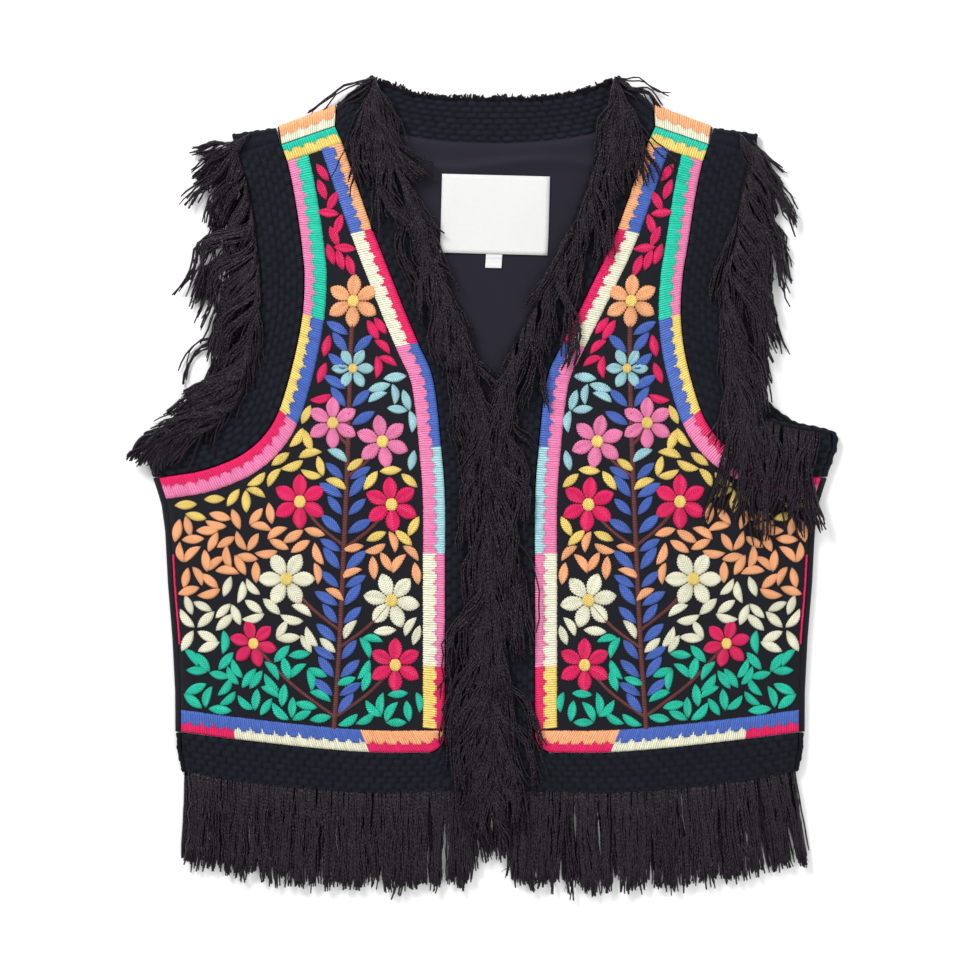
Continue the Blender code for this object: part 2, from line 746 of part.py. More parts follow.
def make_back_armhole_band(name, side):
    """Make the back half of one armhole band, turned over at the shoulder and at the side."""
    rows = back_armhole_band_rows()
    front_seam, front_free = armhole_band_edges(ARMHOLE_ROWS)
    over_shoulder = rows_over_shoulder(rows[0], front_seam[0] + np.array([SEAM_GAP, 0.0]), front_free[0])
    rows = over_shoulder[::-1] + rows + rows_over_side(rows[-1], BAND_WALL)
    places = folded_rows(rows, BACK_BAND_MID, BAND_WALL)
    return cloth(name, [places], BAND_WALL, "knit_band", side, soft_edge=BAND_SOFT_EDGE)


def make_back_hem_band(name):
    """Make the hem band of the back, one half mirrored, turned over at the sides."""
    count = 10
    seam = curve_through([Point(0.0, HEM_SEAM[0].up - 1.0)] + HEM_SEAM, count) - np.array([0.0, SEAM_GAP])
    lower = curve_through(HEM_EDGE, count)
    rows = rows_between(seam, lower, BAND_SHARES)
    rows[-1] = [np.array([side_turn(point[1], BAND_WALL), point[1]]) for point in rows[-1]]
    places = folded_rows(rows + rows_over_side(rows[-1], BAND_WALL), BACK_BAND_MID, BAND_WALL)
    return cloth(name, [places], BAND_WALL, "knit_band", both_sides=True, soft_edge=BAND_SOFT_EDGE)


def make_lining(name):
    """Make the lining that the neck opening shows, one half mirrored."""
    count = 8
    side = curve_through(LINING_SIDE, count)
    neck = curve_through(BACK_NECK, 60) - np.array([0.0, SEAM_GAP])
    top = np.vstack([neck[neck[:, 0] < side[-1, 0]], side[-1:]])
    centre = resample([Point(0.0, side[0, 1]), top[0]], count)
    bottom = np.array([centre[0], side[0]])
    rows = bent_rows(centre, side, bottom, top, np.linspace(0.0, 1.0, 4))
    return cloth(name, [flat_rows(rows, LINING_MID)], LINING_WALL, "lining", both_sides=True)


def make_tag(name, middle_up, width, length):
    """Make a flat woven tag on the lining."""
    half = np.array([[-width / 2, middle_up], [width / 2, middle_up]])
    rise = np.array([0.0, length / 2])
    rows = rows_between(half - rise, half + rise, BAND_SHARES)
    return cloth(name, [flat_rows(rows, LABEL_MID)], LABEL_WALL, "label")


# Fringe

def lie_at(table, where):
    """Return how a lock lies, read from a table by height."""
    heights = sorted(table)
    return Lie(*[float(np.interp(where, heights, [table[height][column] for height in heights]))
                 for column in range(len(Lie._fields))])


def quad_at(centre, lateral, over, width, thickness):
    """Return the corners of a lock's section."""
    across = lateral * width / 2
    deep = over * thickness / 2
    return [centre - across - deep, centre + across - deep, centre + across + deep, centre - across + deep]


def matched(corners, root):
    """Return the order of a section's corners that lies nearest to the root's corners."""
    orders = [[(start + step * index) % 4 for index in range(4)] for start in range(4) for step in (1, -1)]
    return min(orders, key=lambda order: sum(np.sum((corners[index] - place) ** 2)
                                             for index, place in zip(order, root)))


def grow_lock(bm, root, lie, width, side, rises):
    """Grow a lock from a quad of the heading, through its sections to its tip."""
    start = np.mean([np.array(vert.co) for vert in root], axis=0)
    angle = math.radians(lie.degrees)
    ahead = np.array([side * math.sin(angle), -math.cos(angle), 0.0])
    lateral = np.array([-ahead[1], ahead[0], 0.0])
    upward = np.array([0.0, 0.0, 1.0])
    slanted = (upward - ahead) / math.sqrt(2.0)
    middle = start + ahead * lie.length * 0.55
    tip = start + ahead * lie.length
    sections = []
    if rises:
        bend = start + upward * ROOT_RISE + ahead * ROOT_RUN
        sections.append(quad_at(bend, lateral, slanted, width, LOCK_THICKNESS))
    sections.append(quad_at(np.array([*middle[:2], lie.middle]), lateral, upward, width, LOCK_THICKNESS))
    tip_width = width * LOCK_TIP_SHARE
    tip_thickness = LOCK_THICKNESS * LOCK_TIP_SHARE
    sections.append(quad_at(np.array([*tip[:2], lie.tip]), lateral, upward, tip_width, tip_thickness))
    order = matched(sections[0], [np.array(vert.co) for vert in root])
    ring = root
    for section in sections:
        following = [bm.verts.new(section[index]) for index in order]
        for index in range(4):
            after = (index + 1) % 4
            bm.faces.new((ring[index], ring[after], following[after], following[index]))
        ring = following
    bm.faces.new(ring)


def fringe(name, path, low, lie_of, side, pitch=LOCK_PITCH, root_face=2, widest=WIDEST_LOCK):
    """Make a fringe: a heading along a path, with locks grown from one of its faces.

    The heading's section has its faces numbered from below (0) over the left of the path (1) and the top (2) to
    its right (3).
    """
    jitter = random.Random(FRINGE_SEED + len(name))
    total = lengths_along(path)[-1]
    locks = int((total - ROOT_LENGTH) // pitch) + 1
    first = (total - (locks - 1) * pitch - ROOT_LENGTH) / 2
    starts = first + pitch * np.arange(locks)
    stations = np.concatenate([[0.0], np.column_stack([starts, starts + ROOT_LENGTH]).ravel(), [total]])
    spine = at_lengths(path, stations)
    ahead = tangents(at_lengths(path, np.linspace(0.0, total, 200)))
    steady = np.linspace(0.0, total, 200)
    ahead = np.column_stack([np.interp(stations, steady, ahead[:, axis]) for axis in (0, 1)])
    left = np.column_stack([-ahead[:, 1], ahead[:, 0]]) * HEADING_WIDTH / 2
    bm = bmesh.new()
    rings = []
    for middle, beside in zip(spine, left):
        high = low + HEADING_HEIGHT
        corners = [(middle - beside, low), (middle + beside, low), (middle + beside, high), (middle - beside, high)]
        rings.append([bm.verts.new((side * place[0], place[1], height)) for place, height in corners])
    bm.faces.new(rings[0])
    bm.faces.new(rings[-1])
    for index, (ring, following) in enumerate(zip(rings, rings[1:])):
        has_lock = index % 2 == 1
        for face in range(4):
            after = (face + 1) % 4
            quad = [ring[face], ring[after], following[after], following[face]]
            if has_lock and face == root_face:
                lie = lie_of(*spine[index])
                lie = lie._replace(degrees=lie.degrees + jitter.uniform(-0.6, 0.6),
                                   length=lie.length * jitter.uniform(0.94, 1.04))
                angle = math.radians(lie.degrees)
                beside = abs(ahead[index][0] * math.cos(angle) + ahead[index][1] * math.sin(angle))
                width = min(widest, max(NARROWEST_LOCK, LOCK_WIDTH_SHARE * pitch * beside))
                grow_lock(bm, quad, lie, width, side, rises=root_face == 2)
            else:
                bm.faces.new(quad)
    return add_object(name, bm, "fringe")


def make_front_fringe(name, side):
    """Make the fringe on the free edge of a front band, from over the shoulder down to the hem."""
    free = front_band_edges()[1][::-1]
    inset = offset(free, HEADING_INSET)
    inset[:, 0] = np.maximum(inset[:, 0], SEAM_GAP + HEADING_INSET)
    path = np.vstack([FRONT_FRINGE_START, inset[1:]])
    low = BAND_TOP + SEAM_GAP
    return fringe(name, path, low, lambda out, up: lie_at(FRONT_FRINGE, up), side)


def make_armhole_fringe(name, side):
    """Make the fringe on the free edge of the front half of an armhole band."""
    free = armhole_band_edges(60)[1]
    inset = offset(free, -HEADING_INSET)
    inset = inset[inset[:, 0] < front_side(inset[:, 1], BAND_WALL) - HEADING_WIDTH]
    path = np.vstack([ARMHOLE_FRINGE_START, inset[1:]])
    table = LEFT_ARMHOLE_FRINGE if side > 0 else RIGHT_ARMHOLE_FRINGE
    low = BAND_TOP + SEAM_GAP
    return fringe(name, path, low, lambda out, up: lie_at(table, up), side)


def make_back_armhole_fringe(name, side):
    """Make the fringe outside the free edge of the back half of an armhole band, down to the underarm."""
    free = resample([row[-1] for row in back_armhole_band_rows()[1:]], 60)
    path = offset(free, SEAM_GAP + HEADING_WIDTH / 2)
    path = path[path[:, 1] > BACK_FRINGE_LOWEST]
    low = BACK_BAND_MID - HEADING_HEIGHT / 2
    return fringe(name, path, low, lambda out, up: lie_at(BACK_ARMHOLE_FRINGE, up), side, root_face=1)


def hem_lie(out, side, middle, tip):
    """Return how a lock of the hem fringe lies at a distance from the centre line."""
    flare = HEM_FLARE[side if out > 0 else -side] * (abs(out) / HEM_FLARE_REACH) ** 3
    short = (1.0 - HEM_FRINGE_MIDDLE_SHARE) * math.exp(-(out / HEM_FRINGE_MIDDLE_WIDTH) ** 2)
    return Lie(flare if out > 0 else -flare, HEM_FRINGE_LENGTH * (1.0 - short), middle, tip)


def make_front_hem_fringe(name, side):
    """Make the fringe below one front's hem band and front band."""
    edge = curve_through(HEM_EDGE, 80)
    edge = edge[(edge[:, 0] > 1.0) & (edge[:, 0] < front_side(edge[:, 1], BAND_WALL))]
    path = offset(edge, -(SEAM_GAP + HEADING_WIDTH / 2))
    low = FRONT_BAND_MID - HEADING_HEIGHT / 2
    return fringe(name, path, low, lambda out, up: hem_lie(out, side, *FRONT_HEM_HEIGHTS), side,
                  pitch=HEM_LOCK_PITCH, root_face=3)


def make_back_hem_fringe(name):
    """Make the fringe below the hem band of the back."""
    edge = curve_through(HEM_EDGE, 80)
    edge = edge[edge[:, 0] < side_turn(edge[:, 1], BAND_WALL)]
    edge = np.vstack([edge[:0:-1] * np.array([-1.0, 1.0]), edge])
    path = offset(edge, -(SEAM_GAP + HEADING_WIDTH / 2))
    low = BACK_BAND_MID - HEADING_HEIGHT / 2
    return fringe(name, path, low, lambda out, up: hem_lie(out, 1, *BACK_HEM_HEIGHTS), 1,
                  pitch=HEM_LOCK_PITCH, root_face=3)


def make_neck_tufts(name):
    """Make the heading along the back neck, with short tufts that stand up past it."""
    edge = back_neck_free()
    edge = edge[edge[:, 0] < TUFT_REACH]
    edge = np.vstack([edge[:0:-1] * np.array([-1.0, 1.0]), edge])
    path = offset(edge, SEAM_GAP + HEADING_WIDTH / 2)
    low = BACK_BAND_MID - HEADING_HEIGHT / 2
    tuft = Lie(180.0, TUFT_LENGTH, BACK_BAND_MID, BACK_BAND_MID)
    return fringe(name, path, low, lambda out, up: tuft, 1, pitch=TUFT_PITCH, root_face=1)


# The whole vest

def make_back():
    """Make the pieces of the back."""
    make_back_panel("back_panel")
    make_back_neck_band("back_neck_band")
    make_back_hem_band("back_hem_band")
    make_lining("back_lining")
    make_tag("label", LABEL_MIDDLE_UP, LABEL_WIDTH, LABEL_LENGTH)
    tab_up = LABEL_MIDDLE_UP - (LABEL_LENGTH + TAB_LENGTH) / 2 - SEAM_GAP
    make_tag("size_tab", tab_up, TAB_WIDTH, TAB_LENGTH)
    make_neck_tufts("back_neck_fringe")
    make_back_hem_fringe("back_hem_fringe")


def make_side(word, side):
    """Make the pieces of the wearer's right or left."""
    make_front_panel(word + "_front_panel", side)
    make_border(word + "_embroidered_border", side)
    make_front_band(word + "_front_band", side)
    make_front_armhole_band(word + "_armhole_band_front", side)
    make_back_armhole_band(word + "_armhole_band_back", side)
    make_front_hem_band(word + "_hem_band", side)
    make_front_fringe(word + "_front_fringe", side)
    make_armhole_fringe(word + "_armhole_fringe_front", side)
    make_back_armhole_fringe(word + "_armhole_fringe_back", side)
    make_front_hem_fringe(word + "_hem_fringe", side)


def centre_on_floor():
    """Move the vest so that the middle of its box's underside is the origin."""
    bpy.context.view_layer.update()
    graph = bpy.context.evaluated_depsgraph_get()
    corners = []
    for item in parts_collection().objects:
        mesh = item.evaluated_get(graph).data
        corners += [np.array(vert.co) for vert in mesh.vertices]
    low = np.min(corners, axis=0)
    high = np.max(corners, axis=0)
    shift = np.array([-(low[0] + high[0]) / 2, -(low[1] + high[1]) / 2, -low[2]])
    for item in parts_collection().objects:
        for vert in item.data.vertices:
            vert.co = np.array(vert.co) + shift


def main():
    """Build the vest."""
    clear_scene()
    make_back()
    for word, side in SIDES.items():
        make_side(word, side)
    centre_on_floor()


main()
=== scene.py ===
"""A dark wool vest of folk dress, embroidered and fringed, laid flat on its back.

Sizes are millimetres in the lie of the vest: out from its centre line, up from the middle of its height, and
high above the surface it lies on. Place.lay turns them into the frame's metres.
"""
import logging
import math
from dataclasses import dataclass, field
from enum import Enum
from typing import Callable, NamedTuple, Optional, Sequence

import bmesh
import bpy
import numpy as np
from bpy.types import Curve, ID, Material, Mesh, Node, NodeOutputs, NodeSocket, NodeTree, Object
from mathutils import Matrix, Vector


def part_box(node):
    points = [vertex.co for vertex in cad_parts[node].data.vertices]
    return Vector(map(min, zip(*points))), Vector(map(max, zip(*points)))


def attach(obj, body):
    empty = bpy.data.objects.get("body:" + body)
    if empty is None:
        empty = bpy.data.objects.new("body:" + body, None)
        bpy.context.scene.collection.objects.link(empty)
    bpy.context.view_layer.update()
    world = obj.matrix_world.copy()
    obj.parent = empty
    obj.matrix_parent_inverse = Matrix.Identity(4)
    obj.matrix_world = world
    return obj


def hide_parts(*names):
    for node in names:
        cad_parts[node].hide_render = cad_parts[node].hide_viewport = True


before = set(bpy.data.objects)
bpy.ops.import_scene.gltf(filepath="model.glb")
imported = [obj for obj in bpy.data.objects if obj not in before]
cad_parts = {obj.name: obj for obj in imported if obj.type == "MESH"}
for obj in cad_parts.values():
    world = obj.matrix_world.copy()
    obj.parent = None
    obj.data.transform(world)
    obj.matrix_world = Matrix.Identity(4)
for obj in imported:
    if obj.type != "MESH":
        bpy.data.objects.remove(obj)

LOG = logging.getLogger("vest")
MM = 0.001
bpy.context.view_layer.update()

TURN = 2.0 * math.pi
PHASES = 6.3  # a little over a whole turn
SWAY_TURN = 6.283  # a whole turn, rounded, as the fringe sways
TINY = 1e-9  # keeps a division from one by nothing
MERGE = 1e-6
YARN_MERGE = 1e-7
LEAST_AREA_SHARE = 0.3  # of its box that any sheet fills
RIPPLE_WAVES = 7
RIPPLE_PITCHES = (1.4, 3.4)  # in sizes of the ripple
RIPPLE_PEAK = 3.0

Points = np.ndarray


# Lines and grids of points

def unit(value: Points) -> Points:
    """Return values kept between 0 and 1."""
    return np.clip(value, 0.0, 1.0)


def smooth_step(value: Points) -> Points:
    """Return 0 below 0, 1 above 1, and a smooth rise between."""
    share = unit(value)
    return share * share * (3.0 - 2.0 * share)


def lengths_along(line: Points) -> Points:
    """Return the distance of each point of a line from its start."""
    return np.concatenate([[0.0], np.cumsum(np.linalg.norm(np.diff(line, axis=0), axis=1))])


def at_lengths(line: Points, wanted: Points) -> Points:
    """Return the points at the wanted distances along a line."""
    length = lengths_along(line)
    return np.column_stack([np.interp(wanted, length, line[:, axis]) for axis in range(line.shape[1])])


def resample(line: Points, count: int) -> Points:
    """Return count points, evenly spaced along a line."""
    return at_lengths(line, np.linspace(0.0, lengths_along(line)[-1], count))


def curve_through(points: Sequence, count: int, finer: int = 16) -> Points:
    """Return an evenly spaced smooth curve through points.

    Args:
        points: The points that the curve goes through.
        count: How many points to return.
        finer: Steps between two of the given points while the curve is worked out.

    Returns:
        The points of the curve.
    """
    knots = np.asarray(points, dtype=float)
    knots = np.vstack([2 * knots[0] - knots[1], knots, 2 * knots[-1] - knots[-2]])
    dense = []
    for a, b, c, d in zip(knots, knots[1:], knots[2:], knots[3:]):
        for t in np.arange(finer) / finer:
            bend = (2 * a - 5 * b + 4 * c - d) * t ** 2 + (3 * b - a - 3 * c + d) * t ** 3
            dense.append(0.5 * (2 * b + (c - a) * t + bend))
    dense.append(knots[-2])
    return resample(np.array(dense), count)


def lefts(line: Points) -> Points:
    """Return the unit direction to the left of a line at each of its points.

    Args:
        line: The line.

    Returns:
        A step for each of its points.
    """
    ahead = np.gradient(line, axis=0)
    ahead /= np.linalg.norm(ahead, axis=1)[:, None]
    return np.column_stack([-ahead[:, 1], ahead[:, 0]])


def offset(line: Points, distance: float) -> Points:
    """Return a line moved to its left."""
    return line + distance * lefts(line)


def between(first: Points, second: Points, shares: Sequence[float]) -> Points:
    """Return a grid whose rows run from one line to another."""
    share = np.asarray(shares)[None, :, None]
    return first[:, None] * (1.0 - share) + second[:, None] * share


def distances(grid: Points, axis: int) -> Points:
    """Return the mean distances of the rows of a grid from its first, or of its columns for axis 1."""
    gaps = np.linalg.norm(np.diff(grid, axis=axis), axis=2).mean(axis=1 - axis)
    return np.concatenate([[0.0], np.cumsum(gaps)])


def at_shares(line: Points, shares: Points) -> Points:
    """Return the points at the wanted shares of a line's length."""
    return at_lengths(line, shares * lengths_along(line)[-1])


def rising(count: int) -> Points:
    """Return a factor from 0 to 1 for each of count rows of points, which grows slowly at first."""
    return (np.arange(count) / (count - 1))[:, None, None] ** 3


def heading(degrees: float) -> Points:
    """Return the unit step in a direction, which is given in degrees from up towards out."""
    return np.array([math.sin(math.radians(degrees)), math.cos(math.radians(degrees))])


def refined(grid: Points, along: float, across: float) -> Points:
    """Return a grid with even steps.

    Args:
        grid: Rows of points.
        along: Wanted step from row to row.
        across: Wanted step from column to column.

    Returns:
        The finer grid.
    """
    for axis, step in ((0, along), (1, across)):
        length = distances(grid, axis)
        count = max(2, int(round(length[-1] / step)) + 1)
        place = np.interp(np.linspace(0.0, length[-1], count), length, np.arange(len(length)))
        low = np.minimum(place.astype(int), len(length) - 2)
        share = (place - low).reshape((-1, 1, 1) if axis == 0 else (1, -1, 1))
        grid = np.take(grid, low, axis) * (1.0 - share) + np.take(grid, low + 1, axis) * share
    return grid


def both_halves(grid: Points) -> Points:
    """Return a grid of one half together with its mirror image, joined at the first row."""
    return np.concatenate([grid[:0:-1] * np.array([-1.0, 1.0]), grid])


def inside(outline: Points, out: Points, up: Points) -> Points:
    """Tell which places lie inside a closed outline.

    Args:
        outline: The points of the outline.
        out: Distances out.
        up: Distances up.

    Returns:
        Whether each place is inside.
    """
    crossings = np.zeros(np.shape(out), dtype=int)
    for start, end in zip(outline, np.roll(outline, -1, axis=0)):
        rise = end[1] - start[1] if end[1] != start[1] else TINY
        crossing = start[0] + (up - start[1]) / rise * (end[0] - start[0])
        crossings += ((start[1] > up) != (end[1] > up)) & (out < crossing)
    return crossings % 2 == 1


def ripple(out: Points, up: Points, size: float, seed: int) -> Points:
    """Return a smooth random height between about -1 and 1.

    Args:
        out: Distances out.
        up: Distances up.
        size: Distance over which the height changes.
        seed: Which of the ripples to return.

    Returns:
        A height for each place.
    """
    chance = np.random.default_rng(seed)
    total = np.zeros(np.broadcast(out, up).shape)
    for _ in range(RIPPLE_WAVES):
        angle = chance.uniform(0.0, math.pi)
        pitch = size * chance.uniform(*RIPPLE_PITCHES)
        wave = (out * math.cos(angle) + up * math.sin(angle)) * TURN / pitch
        total = total + np.sin(wave + chance.uniform(0.0, PHASES))
    return total / RIPPLE_PEAK


# The cut of the vest

FRONT_EDGE = [(112, 250), (106.5, 237.5), (85.5, 178), (64.5, 129), (50, 97.5), (39.8, 73),
              (34.2, 26), (31.5, -12), (31.5, -60), (31.5, -127), (31.5, -168)]
HEM_SEAM = [(44.5, -187), (78, -187), (120, -184), (178, -177.5), (217, -172.5)]
HEM_EDGE = [(0, -213.5), (31, -213.5), (79, -215), (123, -212.5), (175, -207), (213, -200)]
ARMHOLE = [(149, 237.3), (145, 226), (139.7, 201), (134, 163), (131.8, 144), (132, 116.5),
           (137, 86), (147, 52), (157, 34.7), (171, 22), (186, 14.5), (204, 8.8)]
BACK_ARMHOLE = [(147.5, 226), (144, 201), (140.5, 163), (139.5, 144), (140.5, 116.5), (146, 86),
                (157, 54), (168, 38.5), (182, 25), (202, 12)]
SIDE = np.array([(241.5, 40), (244, 31), (243, 25), (239.4, 15), (235.4, 4.6), (229.8, -12),
                 (227, -32), (225, -70), (222, -106), (220, -145), (219.8, -184),
                 (216.5, -200)])[::-1]
SHOULDER_FOLD = np.array([(70, 299.3), (86, 285.5), (111, 264), (151.5, 248.8), (183, 244.4)])
BACK_NECK = [(0, 238.4), (30, 239.5), (54, 242.5), (75, 247), (95, 254)]
BACK_NECK_FREE = [(0, 269.8), (30, 270.3), (54, 272.8), (72, 279)]
LINING_SIDE = [(16, -30), (22, 27), (36, 80), (56, 130), (72, 187), (75, 246)]
UNDERARM_UP = 4.6
HEM_CENTRE_UP = -188.0
NECK_FOLD_OUT = 111.0
FREE_NECK_FOLD_OUT = 86.0
ARMHOLE_FOLD_OUT = 151.5
FREE_ARMHOLE_FOLD_OUT = 183.0
LABEL_MIDDLE_UP = 188.5
CORNER_MIDDLE = 8  # which point of the front panel's lower corner
PUCKERS = ((0.22, 9.0, 5), (0.35, 42.0, 6))  # the height, size and seed of each ripple of a front


@dataclass(frozen=True)
class Place:
    """Where the vest's own centre lies in the frame."""

    lean: float = 3.5
    lean_start: float = 80.0
    lean_length: float = 100.0
    label_underside: float = 3.6

    def leaning(self, up: Points) -> Points:
        """Return how far the shoulders lie to the wearer's left."""
        return self.lean * smooth_step((up - self.lean_start) / self.lean_length)

    def shift(self) -> Points:
        """Return the move from the vest's own centre to the frame's origin, read from the label's box.

        Returns:
            The move out, up and high, in millimetres.
        """
        low, high = (np.array(corner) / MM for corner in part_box("label"))
        middle = (low + high) / 2
        return np.array([middle[0] - self.lean, middle[1] - LABEL_MIDDLE_UP, low[2] - self.label_underside])

    def lay(self, places: Points, side: int = 1) -> Points:
        """Return places in the frame's metres.

        Args:
            places: Places out, up and high, in millimetres.
            side: 1 for the wearer's left, -1 for the right.

        Returns:
            The places in the frame.
        """
        laid = np.array(places, dtype=float)
        laid[..., 0] = side * laid[..., 0] + self.leaning(laid[..., 1])
        return (laid + self.shift()) * MM


@dataclass(frozen=True)
class Pattern:
    """The pattern to which the vest is cut and the way it is folded."""

    gap: float = 0.3
    panel_wall: float = 2.0
    band_wall: float = 2.6
    front_underside: float = 3.6
    fold_radius: float = 1.8
    side_overlap: float = 1.2
    band_width: float = 31.0
    armhole_band_width: float = 32.5
    corner_radius: float = 13.0
    crown: float = 1.6
    crown_reach: float = 70.0
    pucker_reach: float = 12.0
    side_share: float = 0.28
    inside_shoulder: float = 60.0
    rows: int = 64

    @property
    def fold_arc(self) -> float:
        """Return the length of cloth in the half round of a fold."""
        return math.pi * self.fold_radius

    @property
    def panel_top(self) -> float:
        """Return the height of the top of a front panel at its edges."""
        return self.front_underside + self.panel_wall

    @property
    def band_top(self) -> float:
        """Return the height of the top of a front band."""
        return self.front_underside + self.band_wall

    def reach(self, knots: Points, values: Points, where: Points) -> Points:
        """Return how far a fold reaches past its turning line, more where it runs slanted.

        Args:
            knots: Where the turning line's points lie along the fold.
            values: How far across it they lie.
            where: Places along the fold.

        Returns:
            The reach at each place.
        """
        slopes = np.diff(values) / np.diff(knots)
        segment = np.clip(np.searchsorted(knots, where, side="right") - 1, 0, len(slopes) - 1)
        return self.fold_radius * np.hypot(1.0, slopes[segment])

    def side_turn(self, up: Points, wall: float) -> Points:
        """Return how far out the back starts to turn over at the side."""
        silhouette = np.interp(up, SIDE[:, 1], SIDE[:, 0])
        return silhouette - wall / 2 - self.reach(SIDE[:, 1], SIDE[:, 0], up)

    def front_side(self, up: Points, wall: float) -> Points:
        """Return how far out a front piece reaches at the side."""
        return self.side_turn(up, wall) - self.side_overlap - self.gap

    def shoulder_turn(self, out: Points) -> Points:
        """Return the height at which the back starts to turn over at the shoulder."""
        fold = np.interp(out, SHOULDER_FOLD[:, 0], SHOULDER_FOLD[:, 1])
        return fold - self.reach(SHOULDER_FOLD[:, 0], SHOULDER_FOLD[:, 1], out)

    def folded(self, grid: Points, wall: float) -> Points:
        """Return the middle surface of a piece of the back, turned over to the front.

        Args:
            grid: Rows of points of the unfolded piece.
            wall: Thickness of the piece.

        Returns:
            Rows of places, out, up and high.
        """
        sign = np.where(grid[..., 0] < 0, -1.0, 1.0)
        out = np.abs(grid[..., 0])
        up = grid[..., 1]
        mid = wall / 2
        shoulder = self.shoulder_turn(out)
        side = self.side_turn(up, wall)
        over_shoulder = (up > shoulder) & (out > self.inside_shoulder)
        over_side = ~over_shoulder & (out > side)
        past = np.where(over_shoulder, up - shoulder, np.where(over_side, out - side, 0.0))
        reach = np.where(over_shoulder, self.reach(SHOULDER_FOLD[:, 0], SHOULDER_FOLD[:, 1], out),
                         self.reach(SIDE[:, 1], SIDE[:, 0], up))
        angle = np.clip(past, 0.0, self.fold_arc) / self.fold_radius
        run = np.where(past <= self.fold_arc, reach * np.sin(angle), self.fold_arc - past)
        high = mid + self.fold_radius * (1.0 - np.cos(angle))
        out = sign * np.where(over_side, side + run, out)
        return np.stack([out, np.where(over_shoulder, shoulder + run, up), high], axis=-1)

    def corner(self) -> Points:
        """Return the rounded lower corner of a front panel, from its front edge to its hem.

        Returns:
            The points of a quarter circle.
        """
        middle = np.array([FRONT_EDGE[-1][0], HEM_SEAM[0][1]]) + self.corner_radius
        angles = np.radians(np.linspace(180.0, 270.0, 2 * CORNER_MIDDLE + 1))
        return middle + self.corner_radius * np.column_stack([np.cos(angles), np.sin(angles)])

    def front_edge(self, count: int) -> Points:
        """Return the front edge of a front panel, from the middle of its corner up to the shoulder."""
        line = curve_through(FRONT_EDGE, count * 4)
        return resample(np.vstack([line, self.corner()[1:CORNER_MIDDLE + 1]])[::-1], count)

    def armhole(self, count: int) -> Points:
        """Return the armhole seam of a front panel, from the side up to the shoulder."""
        end = (float(self.front_side(UNDERARM_UP, self.panel_wall)), UNDERARM_UP)
        return curve_through(ARMHOLE + [end], count)[::-1]

    def hem_seam(self, count: int) -> Points:
        """Return the hem seam of a front panel, from the middle of its corner to the side.

        Args:
            count: How many points to return.

        Returns:
            The points of the seam.
        """
        end = (float(self.front_side(HEM_SEAM[-1][1], self.panel_wall)), HEM_SEAM[-1][1])
        seam = curve_through(HEM_SEAM[:-1] + [end], count * 4)
        return resample(np.vstack([self.corner()[CORNER_MIDDLE:-1], seam]), count)

    def panel_side(self, count: int) -> Points:
        """Return the side edge of a front panel, from the hem up to the armhole."""
        heights = np.linspace(HEM_SEAM[-1][1], UNDERARM_UP, count)
        return np.column_stack([self.front_side(heights, self.panel_wall), heights])

    def panel_outline(self) -> Points:
        """Return the closed outline of a front panel."""
        front = self.front_edge(50)[::-1]
        return np.vstack([self.hem_seam(24), self.panel_side(16), self.armhole(40), front])

    def edge_distance(self, out: Points, up: Points) -> Points:
        """Return how far places lie from the outline of a front panel.

        Args:
            out: Distances out.
            up: Distances up.

        Returns:
            A distance for each place.
        """
        outline = self.panel_outline()
        along = np.roll(outline, -1, axis=0) - outline
        square = np.maximum((along ** 2).sum(axis=1), TINY)
        nearest = np.full(np.shape(out), np.inf)
        for start, run, length in zip(outline, along, square):
            share = unit(((out - start[0]) * run[0] + (up - start[1]) * run[1]) / length)
            far = np.hypot(out - start[0] - share * run[0], up - start[1] - share * run[1])
            nearest = np.minimum(nearest, far)
        return nearest

    def panel_height(self, places: Points) -> Points:
        """Return the height of the top of a front panel, with its crown and the puckers of the needlework.

        Args:
            places: Places out and up.

        Returns:
            A height for each place.
        """
        out, up = places[..., 0], places[..., 1]
        inner = self.edge_distance(out, up)
        crown = self.crown * smooth_step(inner / self.crown_reach)
        pucker = sum(height * ripple(out, up, size, seed) for height, size, seed in PUCKERS)
        return self.panel_top + crown + pucker * smooth_step(inner / self.pucker_reach)

    def panel_grid(self) -> Points:
        """Return the rows of a front panel.

        Returns:
            Rows from the hem up to the shoulder, each from the front edge to the side or the armhole.
        """
        right = np.vstack([self.panel_side(24)[:-1], self.armhole(54)])
        low = np.linspace(0.0, self.side_share, 24)[:-1]
        left = at_shares(self.front_edge(300), np.concatenate([low, np.linspace(self.side_share, 1.0, 54)]))
        shares = np.linspace(0.0, 1.0, 14)
        grid = between(left, right, shares)
        rise = rising(len(grid))
        lower = at_shares(self.hem_seam(90), shares) - grid[0]
        upper = at_shares(np.array([FRONT_EDGE[0], ARMHOLE[0]]), shares) - grid[-1]
        return grid + lower[None] * rise[::-1] + upper[None] * rise

    def over_shoulder(self, row: Points, neck_end: Points, armhole_end: Points) -> Points:
        """Return rows that carry on from one at the shoulder's turn to the seam on the front.

        Args:
            row: The points at the turn.
            neck_end: The seam's end at the neck.
            armhole_end: The seam's end at the armhole.

        Returns:
            The unfolded rows past the turn.
        """
        passed = np.linspace(0.0, self.fold_arc, 9)[1:]
        over = [np.column_stack([row[:, 0], self.shoulder_turn(row[:, 0]) + past]) for past in passed]
        share = ((row[:, 0] - row[0, 0]) / (row[-1, 0] - row[0, 0]))[:, None]
        seam = neck_end + share * (armhole_end - neck_end) + np.array([0.0, self.gap])
        seam[:, 1] = 2 * self.shoulder_turn(seam[:, 0]) + self.fold_arc - seam[:, 1]
        return np.array(over + [seam])

